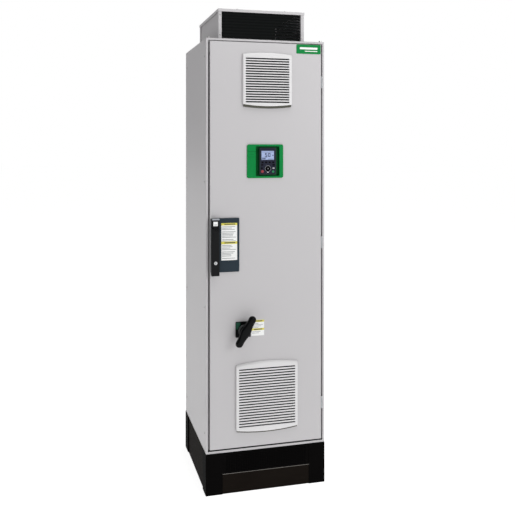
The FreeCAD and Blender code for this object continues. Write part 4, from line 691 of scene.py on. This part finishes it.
soften("hmi_bezel", "door", "green_plastic", 1.4 * MM, segments=3, longer=1.5 * MM)
BEZEL_FACE = node_box("hmi_bezel")[0].y
CASE_LOW, CASE_HIGH = node_box("hmi_terminal")
WELL_FLOOR = CASE_HIGH.y
# Places on the panel are in millimetres: x from the door's middle, z from the ground.
WELL_LOW, WELL_HIGH = Vector((-55.6, 1533.4)), Vector((63.6, 1678.6))
KEYPAD_X = 4


def keypad_well_shade(bm):
    """Darker green walls and floor of the keypad's pocket, with rounded inner corners: painted shade in the
    recess.
    """
    centre = ((WELL_LOW + WELL_HIGH) / 2) * MM
    size = (WELL_HIGH - WELL_LOW) * MM
    walls = 1.2 * MM
    outer = rounded(centre, size.x, size.y, 0.5 * MM, 6)
    inner = rounded(centre, size.x - walls, size.y - walls, 7 * MM, 6)
    add_ring(bm, outer, inner, BEZEL_FACE + 0.6 * MM, WELL_FLOOR - 0.1 * MM)
    add_prism(bm, outer, WELL_FLOOR - 0.5 * MM, WELL_FLOOR - 0.05 * MM)


piece("keypad_well_shade", "door", "green_shade", keypad_well_shade)
# The grooves and the dimple are flat plates of darker green: painted shade in place of their depth.
GROOVES = [((-100, -56), (1652, 1654.5)), ((-96, -56), (1626.5, 1627.7))]
plates("bezel_groove_shade", "door", "green_shade", GROOVES, BEZEL_FACE - 0.08 * MM, BEZEL_FACE, radius=0.4)
plates("bezel_dimple_shade", "door", "green_shade", [((-88, -66), (1639.5, 1641))],
       BEZEL_FACE - 0.06 * MM, BEZEL_FACE)


def case_edge(line):
    """Full weight along the keypad case's four corners, none elsewhere."""
    middle = (CASE_LOW.x + CASE_HIGH.x) / 2
    half_width = (CASE_HIGH.x - CASE_LOW.x) / 2

    def at_corner(vert):
        end = min(abs(vert.co.z - CASE_LOW.z), abs(vert.co.z - CASE_HIGH.z))
        return abs(abs(vert.co.x - middle) - half_width) < NEAR and end < NEAR
    first, second = line.verts
    runs_back = abs(first.co.y - second.co.y) > 1 * MM
    return 1.0 if runs_back and at_corner(first) and at_corner(second) else 0.0


soften("hmi_terminal", "door", "keypad_plastic", 4.0 * MM, segments=5, weigh=case_edge, merge_flat=False)
CASE_FACE = CASE_LOW.y + 1 * MM
CASE_RIM = 3.5
KEYPAD_FACE = CASE_FACE - 0.25 * MM
plates("keypad_face", "door", "face_navy",
       [((CASE_LOW.x / MM + CASE_RIM, CASE_HIGH.x / MM - CASE_RIM),
         (CASE_LOW.z / MM + CASE_RIM, CASE_HIGH.z / MM - CASE_RIM))],
       KEYPAD_FACE, CASE_FACE, radius=3)
SCREEN_Y = KEYPAD_FACE - 0.15 * MM
plates("screen_glass", "door", "screen", [((-28.5, 34.5), (1613, 1656.5))],
       SCREEN_Y, KEYPAD_FACE, radius=1.2)

# The bars that are lit in each digit; a is the top bar, and the others follow clockwise, g last.
SEGMENTS = {"0": "abcdef", "5": "acdfg"}


def digit_bars(text, left, low, width, height, pen):
    """Seven-segment digits as the spans of thin plates."""
    rows = []
    for place, digit in enumerate(text):
        x0, x1 = left + place * width * 1.45, left + place * width * 1.45 + width
        z0, z1, z2 = low, low + height / 2, low + height
        shapes = {"a": ((x0, x1), (z2 - pen, z2)),
                  "g": ((x0, x1), (z1 - pen / 2, z1 + pen / 2)),
                  "d": ((x0, x1), (z0, z0 + pen)),
                  "b": ((x1 - pen, x1), (z1, z2)),
                  "c": ((x1 - pen, x1), (z0, z1)),
                  "e": ((x0, x0 + pen), (z0, z1)),
                  "f": ((x0, x0 + pen), (z1, z2))}
        rows += [shapes[part] for part in SEGMENTS[digit]]
    return rows


HEADING_RULE = ((-26, 32), (1650, 1651.4))
SCALE_RULE = ((-26, 0), (1624, 1625.6))
UNIT_MARK = ((27, 32), (1632, 1637))
SOFT_KEY_MARKS = [((-26, -8), (1615.5, 1620.5)), ((4, 32), (1615.5, 1617.5))]
SPEED = digit_bars("50", left=-10.5, low=1627.5, width=11, height=19, pen=3.2)
plates("screen_figures", "door", "screen_dark",
       SPEED + [HEADING_RULE, *SOFT_KEY_MARKS, UNIT_MARK, SCALE_RULE],
       SCREEN_Y - 0.1 * MM, SCREEN_Y, radius=0.2)

WHEEL = Vector((KEYPAD_X, 1570)) * MM


def wheel_ring(bm):
    """Light ring round the keypad's wheel."""
    add_ring(bm, circle(WHEEL, 14.9 * MM), circle(WHEEL, 13.7 * MM), CASE_LOW.y - 0.35 * MM, CASE_LOW.y)


piece("wheel_ring", "door", "mark_light", wheel_ring, bevel=0.15 * MM, segments=2)
piece("wheel_disc", "door", "key_dark",
      lambda bm: add_prism(bm, circle(WHEEL, 15.9 * MM), CASE_LOW.y - 0.12 * MM, CASE_LOW.y))
plates("wheel_bar", "door", "label_white", [((KEYPAD_X - 4, KEYPAD_X + 4), (1550.4, 1552.6))],
       KEYPAD_FACE - 0.15 * MM, KEYPAD_FACE, radius=1.0)

for name in [name for name in NODES if name.startswith("key_")]:
    soften(name, name, LOOK_OF[name], 0.6 * MM, segments=3)
KEY_OK_FACE = node_box("key_ok")[0].y
plates("ok_mark", "key_ok", "label_grey", [((KEYPAD_X - 2.5, KEYPAD_X + 2.5), (1567.5, 1572.5))],
       KEY_OK_FACE - 0.1 * MM, KEY_OK_FACE, radius=1.2)

POCKET_BACK = node_box("hmi_bezel")[1].y
COVER_FACE = POCKET_BACK + 8.9 * MM
COVER_MIDDLE = Vector((KEYPAD_X, 1606)) * MM


def hmi_back_cover(bm):
    """Cover over the keypad's pocket inside the door, with cooling ribs."""
    add_layers(bm, [(POCKET_BACK, rounded(COVER_MIDDLE, 108 * MM, 134 * MM, 5 * MM)),
                    (POCKET_BACK + 7 * MM, rounded(COVER_MIDDLE, 106 * MM, 132 * MM, 5 * MM)),
                    (POCKET_BACK + 9 * MM, rounded(COVER_MIDDLE, 102 * MM, 128 * MM, 4 * MM))])
    for step in range(7):
        foot = (1622 + 6 * step) * MM
        add_box(bm, (COVER_MIDDLE.x - 38 * MM, COVER_FACE, foot),
                (COVER_MIDDLE.x + 38 * MM, POCKET_BACK + 10.2 * MM, foot + 2.4 * MM))


def hmi_socket(bm):
    """Cable socket with an open mouth, low on the cover."""
    middle = (COVER_MIDDLE.x, 1574 * MM)
    outer, inner = (rounded(middle, width * MM, height * MM, 1.2 * MM)
                    for width, height in ((22, 19), (16, 12)))
    add_ring(bm, outer, inner, COVER_FACE, POCKET_BACK + 16 * MM)


def hmi_back_screws(bm):
    """Domed screws at the cover's corners."""
    # The profile lists each radius and how far it stands behind the pocket.
    profile = [(0, 8.6), (3.4, 8.6), (3.2, 9.8), (2.0, 10.6), (0, 10.8)]
    head = [(radius * MM, POCKET_BACK + y * MM) for radius, y in profile]
    for x in (KEYPAD_X - 47, KEYPAD_X + 47):
        for z in (1546, 1666):
            add_lathe(bm, head, (x * MM, z * MM), 20)


piece("hmi_back_cover", "door", "module_grey", hmi_back_cover, bevel=0.8 * MM, segments=2)
piece("hmi_socket", "door", "black_plastic", hmi_socket, bevel=0.5 * MM, segments=2)
piece("hmi_back_screws", "door", "screw_steel", hmi_back_screws)


# ---------------------------------------------------------------- lever lock

soften("lock_plate", "door", "slate_plastic", 1.0 * MM, segments=3)
soften("lock_hub", "lock_hub", "black_plastic", 2.0 * MM, segments=4, longer=15 * MM)
soften("lock_lever", "lock_lever", "black_plastic", 2.4 * MM, segments=4, longer=15 * MM)
soften("lock_cylinder", "lock_cylinder", "chrome", 0.7 * MM, segments=3, merge_flat=False)
HUB_LOW, HUB_HIGH = node_box("lock_hub")
CYLINDER_LOW, CYLINDER_HIGH = node_box("lock_cylinder")
CYLINDER_MIDDLE = (CYLINDER_LOW + CYLINDER_HIGH) / 2


def lock_rim(bm):
    """Light lid over the top of the lock's head."""
    add_box(bm, (HUB_LOW.x + 1.5 * MM, HUB_LOW.y - 0.4 * MM, HUB_HIGH.z - 5.4 * MM),
            (HUB_HIGH.x - 0.2 * MM, HUB_LOW.y + 23 * MM, HUB_HIGH.z + 0.5 * MM))


def keyway(bm):
    """Dark key slot on the cylinder's face, a thin black plate: painted shade for the slot's depth."""
    half_width, half_height = 0.8 * MM, 3.6 * MM
    x, z = CYLINDER_MIDDLE.x, CYLINDER_MIDDLE.z
    add_box(bm, (x - half_width, CYLINDER_LOW.y - 0.08 * MM, z - half_height),
            (x + half_width, CYLINDER_LOW.y + 0.5 * MM, z + half_height))


piece("lock_rim", "lock_hub", "mark_light", lock_rim, bevel=1.1 * MM)
piece("lock_keyway", "lock_cylinder", "black_plastic", keyway, bevel=0.2 * MM, segments=2)
BADGE_FACE = HUB_LOW.y - 0.3 * MM
plates("lock_badge", "lock_hub", "label_white", [((-272.5, -251), (1299, 1319.5))],
       BADGE_FACE, HUB_LOW.y, radius=1.5)
plates("lever_cap", "lock_lever", "black_plastic", [((-271, -251), (1254, 1279))],
       HUB_LOW.y - 0.3 * MM, HUB_LOW.y + 0.6 * MM, radius=3, bevel=0.2 * MM)
plates("lock_badge_bar", "lock_hub", "label_grey", [((-269, -256), (1303, 1306))],
       HUB_LOW.y - 0.4 * MM, BADGE_FACE, radius=0.8)


# ---------------------------------------------------------------- isolator

soften("isolator_faceplate", "door", "black_plastic", 1.0 * MM, segments=3, longer=1 * MM)
PLATE_LOW, PLATE_HIGH = node_box("isolator_faceplate")
GRIP_LOW, GRIP_HIGH = node_box("isolator_handle")
AXIS = Vector(((PLATE_LOW.x + PLATE_HIGH.x) / 2, (PLATE_LOW.z + PLATE_HIGH.z) / 2))
HUB_SEAT = 0.3  # gap between the face plate and the turning hub, in millimetres
GRIP_TILT = math.radians(30)
GRIP_UP, GRIP_DOWN = 65, 63  # from the axis to the middle of each lobe, in millimetres
plates("isolator_patch", "door", "patch_green", [((-154.5, -134), (793, 825.5))],
       PLATE_LOW.y - 0.15 * MM, PLATE_LOW.y, radius=2.0)


def isolator_hub(bm):
    """Turned hub with stepped ridges and the coupling boss behind it."""
    back = GRIP_HIGH.y
    front = GRIP_LOW.y + 12 * MM
    seat = PLATE_LOW.y - HUB_SEAT * MM
    profile = [(0, back), (10.4, back), (11, back - 0.6 * MM), (11, seat), (26, seat),
               (27, seat - 0.8 * MM)]
    # Each ridge point is a radius and how far it stands out from the seat, in millimetres.
    for radius, rise in ((27.5, 16.0), (29.6, 19.0), (30, 25.0), (29.2, 26.4), (27.4, 27.0), (27.0, 29.6),
                         (26.0, 30.6), (24.2, 31.0), (23.8, 34.0), (22.8, 35.2), (21.0, 35.6)):
        profile.append((radius, seat - rise * MM))
    profile += [(20.5, front + 0.8 * MM), (19, front), (0, front)]
    add_lathe(bm, [(radius * MM, y) for radius, y in profile], AXIS, 64)


def grip_outline(inset, lobe=17.5, waist=24, sides=18, turns=14):
    """Outline of the two-lobed grip, wider in its middle, about the isolator's axis."""
    length = GRIP_UP + GRIP_DOWN
    middle, half = (GRIP_UP - GRIP_DOWN) / 2, length / 2

    def breadth(u):
        bulge = (1 + math.cos(math.pi * (u - middle) / half)) / 2
        return lobe - 1.5 * math.sin(math.pi * bulge) + (waist - lobe) * bulge ** 1.3 - inset

    points = [(u, breadth(u)) for u in (-GRIP_DOWN + length * step / sides for step in range(sides))]
    points += [(GRIP_UP + (lobe - inset) * math.sin(math.pi * turn / turns),
                (lobe - inset) * math.cos(math.pi * turn / turns)) for turn in range(turns)]
    points += [(u, -breadth(u)) for u in (GRIP_UP - length * step / sides for step in range(sides))]
    points += [(-GRIP_DOWN - (lobe - inset) * math.sin(math.pi * turn / turns),
                -(lobe - inset) * math.cos(math.pi * turn / turns)) for turn in range(turns)]
    return [(AXIS.x + (u * math.sin(GRIP_TILT) + v * math.cos(GRIP_TILT)) * MM,
             AXIS.y + (u * math.cos(GRIP_TILT) - v * math.sin(GRIP_TILT)) * MM) for u, v in points]


def isolator_grip(bm):
    """Domed grip: rounded front, full sides, a slight draft towards its back, and two round lobes."""
    # Each layer is how far behind the grip's front it lies and how far in its outline is.
    layers = [(0.0, 9.0), (0.5, 6.4), (1.5, 4.2), (3.2, 2.3), (5.6, 0.9), (9.0, 0.15), (13.0, 0.0),
              (19.0, 0.6), (23.5, 1.6), (25.2, 2.8), (26.0, 4.6)]
    add_layers(bm, [(GRIP_LOW.y + depth * MM, grip_outline(inset)) for depth, inset in layers])
    lobe_radius, lobe_depth, lobe_back = 18.4 * MM, 13.1 * MM, 13.2 * MM
    for reach in (GRIP_UP, -GRIP_DOWN):
        centre = Vector((AXIS.x + reach * math.sin(GRIP_TILT) * MM, GRIP_LOW.y + lobe_back,
                         AXIS.y + reach * math.cos(GRIP_TILT) * MM))
        ball = Matrix.Translation(centre) @ Matrix.Diagonal((lobe_radius, lobe_depth, lobe_radius, 1))
        bmesh.ops.create_uvsphere(bm, u_segments=40, v_segments=24, radius=1.0, matrix=ball)


def hub_ridge_highlights(bm):
    """Two fine raised rings on the hub's shoulder, light grey: painted highlights on the black hub's
    ridges.
    """
    for radius, rise in ((29.4, 26.2), (26.4, 30.4)):
        y = PLATE_LOW.y - (HUB_SEAT + rise) * MM
        add_ring(bm, circle(AXIS, (radius + 0.35) * MM, 64), circle(AXIS, (radius - 0.7) * MM, 64),
                 y - 0.45 * MM, y + 0.5 * MM)


piece("isolator_hub", "isolator_grip", "grip_black", isolator_hub, angle=40,
      stands_for=("isolator_handle",))
piece("hub_ridge_highlights", "isolator_grip", "ridge_highlight_grey", hub_ridge_highlights, bevel=0.25 * MM, segments=2)
piece("isolator_grip_shell", "isolator_grip", "grip_black", isolator_grip, angle=50)


# ---------------------------------------------------------------- screws

soften("panel_screws", "cabinet", "screw_steel", 0.7 * MM, segments=3, longer=0.2 * MM)


def screw_recess_shade(bm):
    """Dark crosses on the heads of the side, back and hood screws: painted shade for their cross recesses.
    """
    arm, half_width, proud, sunk = 2.6 * MM, 0.5 * MM, 0.04 * MM, 0.6 * MM
    for low, high in island_boxes("panel_screws"):
        size = high - low
        middle = (low + high) / 2
        on_front = size.y < 2 * MM
        if min(size) / max(size) > 0.72:
            axis = max(range(3), key=lambda index: size[index])
        elif on_front:
            axis = 1
        else:
            continue
        outward = -1 if (axis == 1 and on_front) or middle[axis] < 0 else 1
        face = high[axis] if outward > 0 else low[axis]
        flats = [index for index in range(3) if index != axis]
        for along, across in (flats, reversed(flats)):
            corner_low, corner_high = Vector(middle), Vector(middle)
            corner_low[along] -= arm
            corner_high[along] += arm
            corner_low[across] -= half_width
            corner_high[across] += half_width
            corner_low[axis] = face - (proud if outward < 0 else sunk)
            corner_high[axis] = face + (proud if outward > 0 else sunk)
            add_box(bm, corner_low, corner_high)


piece("screw_recess_shade", "cabinet", "dark_ink_and_shade", screw_recess_shade, bevel=0.1 * MM, segments=1)


# ---------------------------------------------------------------- stage, light and camera

WHITE = (1, 1, 1, 1)
SKY_LIGHT = 0.22
FLOOR_GLOW = 0.80
FLOOR_RADIUS = 60.0


def stage_piece(name, bm, finish):
    """One piece of the stage, which isn't part of the object."""
    mesh = bpy.data.meshes.new(name)
    bm.to_mesh(mesh)
    bm.free()
    made = bpy.data.objects.new(name, mesh)
    bpy.context.scene.collection.objects.link(made)
    mesh.materials.append(finish)


def studio_floor():
    """A wide pale disc with a glow of its own, so that it is white round the object."""
    bm = bmesh.new()
    bmesh.ops.create_circle(bm, cap_ends=True, radius=FLOOR_RADIUS, segments=96)
    finish = material("studio_floor", colour(244, 244, 243), 0.7, grain=40, bump=0.0, vary=0.004,
                      specular=0.1)
    light_up(finish, WHITE, FLOOR_GLOW)
    stage_piece("studio_floor", bm, finish)


def shaded_floor():
    """A patch without glow under the plinth, so that no light comes up through it."""
    bm = bmesh.new()
    low, high = node_box("plinth_corners")
    inset = 4 * MM
    add_box(bm, (low.x + inset, low.y + inset, 0.1 * MM), (high.x - inset, high.y - inset, 0.5 * MM))
    finish = material("shaded_floor", colour(210, 210, 208), 0.8, grain=40, bump=0.0, vary=0.01)
    stage_piece("shaded_floor", bm, finish)


def studio_world():
    """White backdrop for the camera, softer white light for the object."""
    world = bpy.data.worlds.new("studio")
    bpy.context.scene.world = world
    world.use_nodes = True
    tree = world.node_tree
    shown = tree.nodes["Background"]
    shown.inputs["Color"].default_value = WHITE
    shown.inputs["Strength"].default_value = 1.0
    light = tree.nodes.new("ShaderNodeBackground")
    light.inputs["Color"].default_value = WHITE
    light.inputs["Strength"].default_value = SKY_LIGHT
    ray = tree.nodes.new("ShaderNodeLightPath")
    either = tree.nodes.new("ShaderNodeMixShader")
    tree.links.new(ray.outputs["Is Camera Ray"], either.inputs["Fac"])
    tree.links.new(light.outputs["Background"], either.inputs[1])
    tree.links.new(shown.outputs["Background"], either.inputs[2])
    tree.links.new(either.outputs["Shader"], tree.nodes["World Output"].inputs["Surface"])


def soft_box(name, place, aim, size, power):
    """A square or oblong lamp at a place, turned to its aim, in metres and watts."""
    data = bpy.data.lights.new(name, "AREA")
    data.shape = "RECTANGLE"
    data.size, data.size_y = size
    data.energy = power
    lamp = bpy.data.objects.new(name, data)
    lamp.location = place
    lamp.rotation_euler = (Vector(aim) - Vector(place)).to_track_quat("-Z", "Y").to_euler()
    bpy.context.scene.collection.objects.link(lamp)


def main_camera(place, turn, lens_mm, film_width, film_height, shift):
    """Level camera with a portrait film back; the shift moves the view down to the object."""
    lens = bpy.data.cameras.new("camera")
    lens.lens = lens_mm
    lens.sensor_fit = "VERTICAL"
    lens.sensor_height = film_height
    lens.sensor_width = film_width
    lens.shift_y = shift
    camera = bpy.data.objects.new("camera", lens)
    camera.location = place
    camera.rotation_euler = (math.radians(90), 0, math.radians(turn))
    bpy.context.scene.collection.objects.link(camera)
    bpy.context.scene.camera = camera


studio_floor()
shaded_floor()
studio_world()
soft_box("key", place=(2.6, -4.6, 2.7), aim=(0.0, -0.3, 1.1), size=(2.6, 2.6), power=78)
soft_box("top", place=(0.2, -1.2, 4.6), aim=(0.0, 0.0, 1.0), size=(3.0, 2.0), power=50)
main_camera(place=(-0.947, -3.689, 1.670), turn=-14.905, lens_mm=50.18, film_width=22,
            film_height=36, shift=-0.2124)
bpy.context.scene.view_settings.view_transform = "Standard"
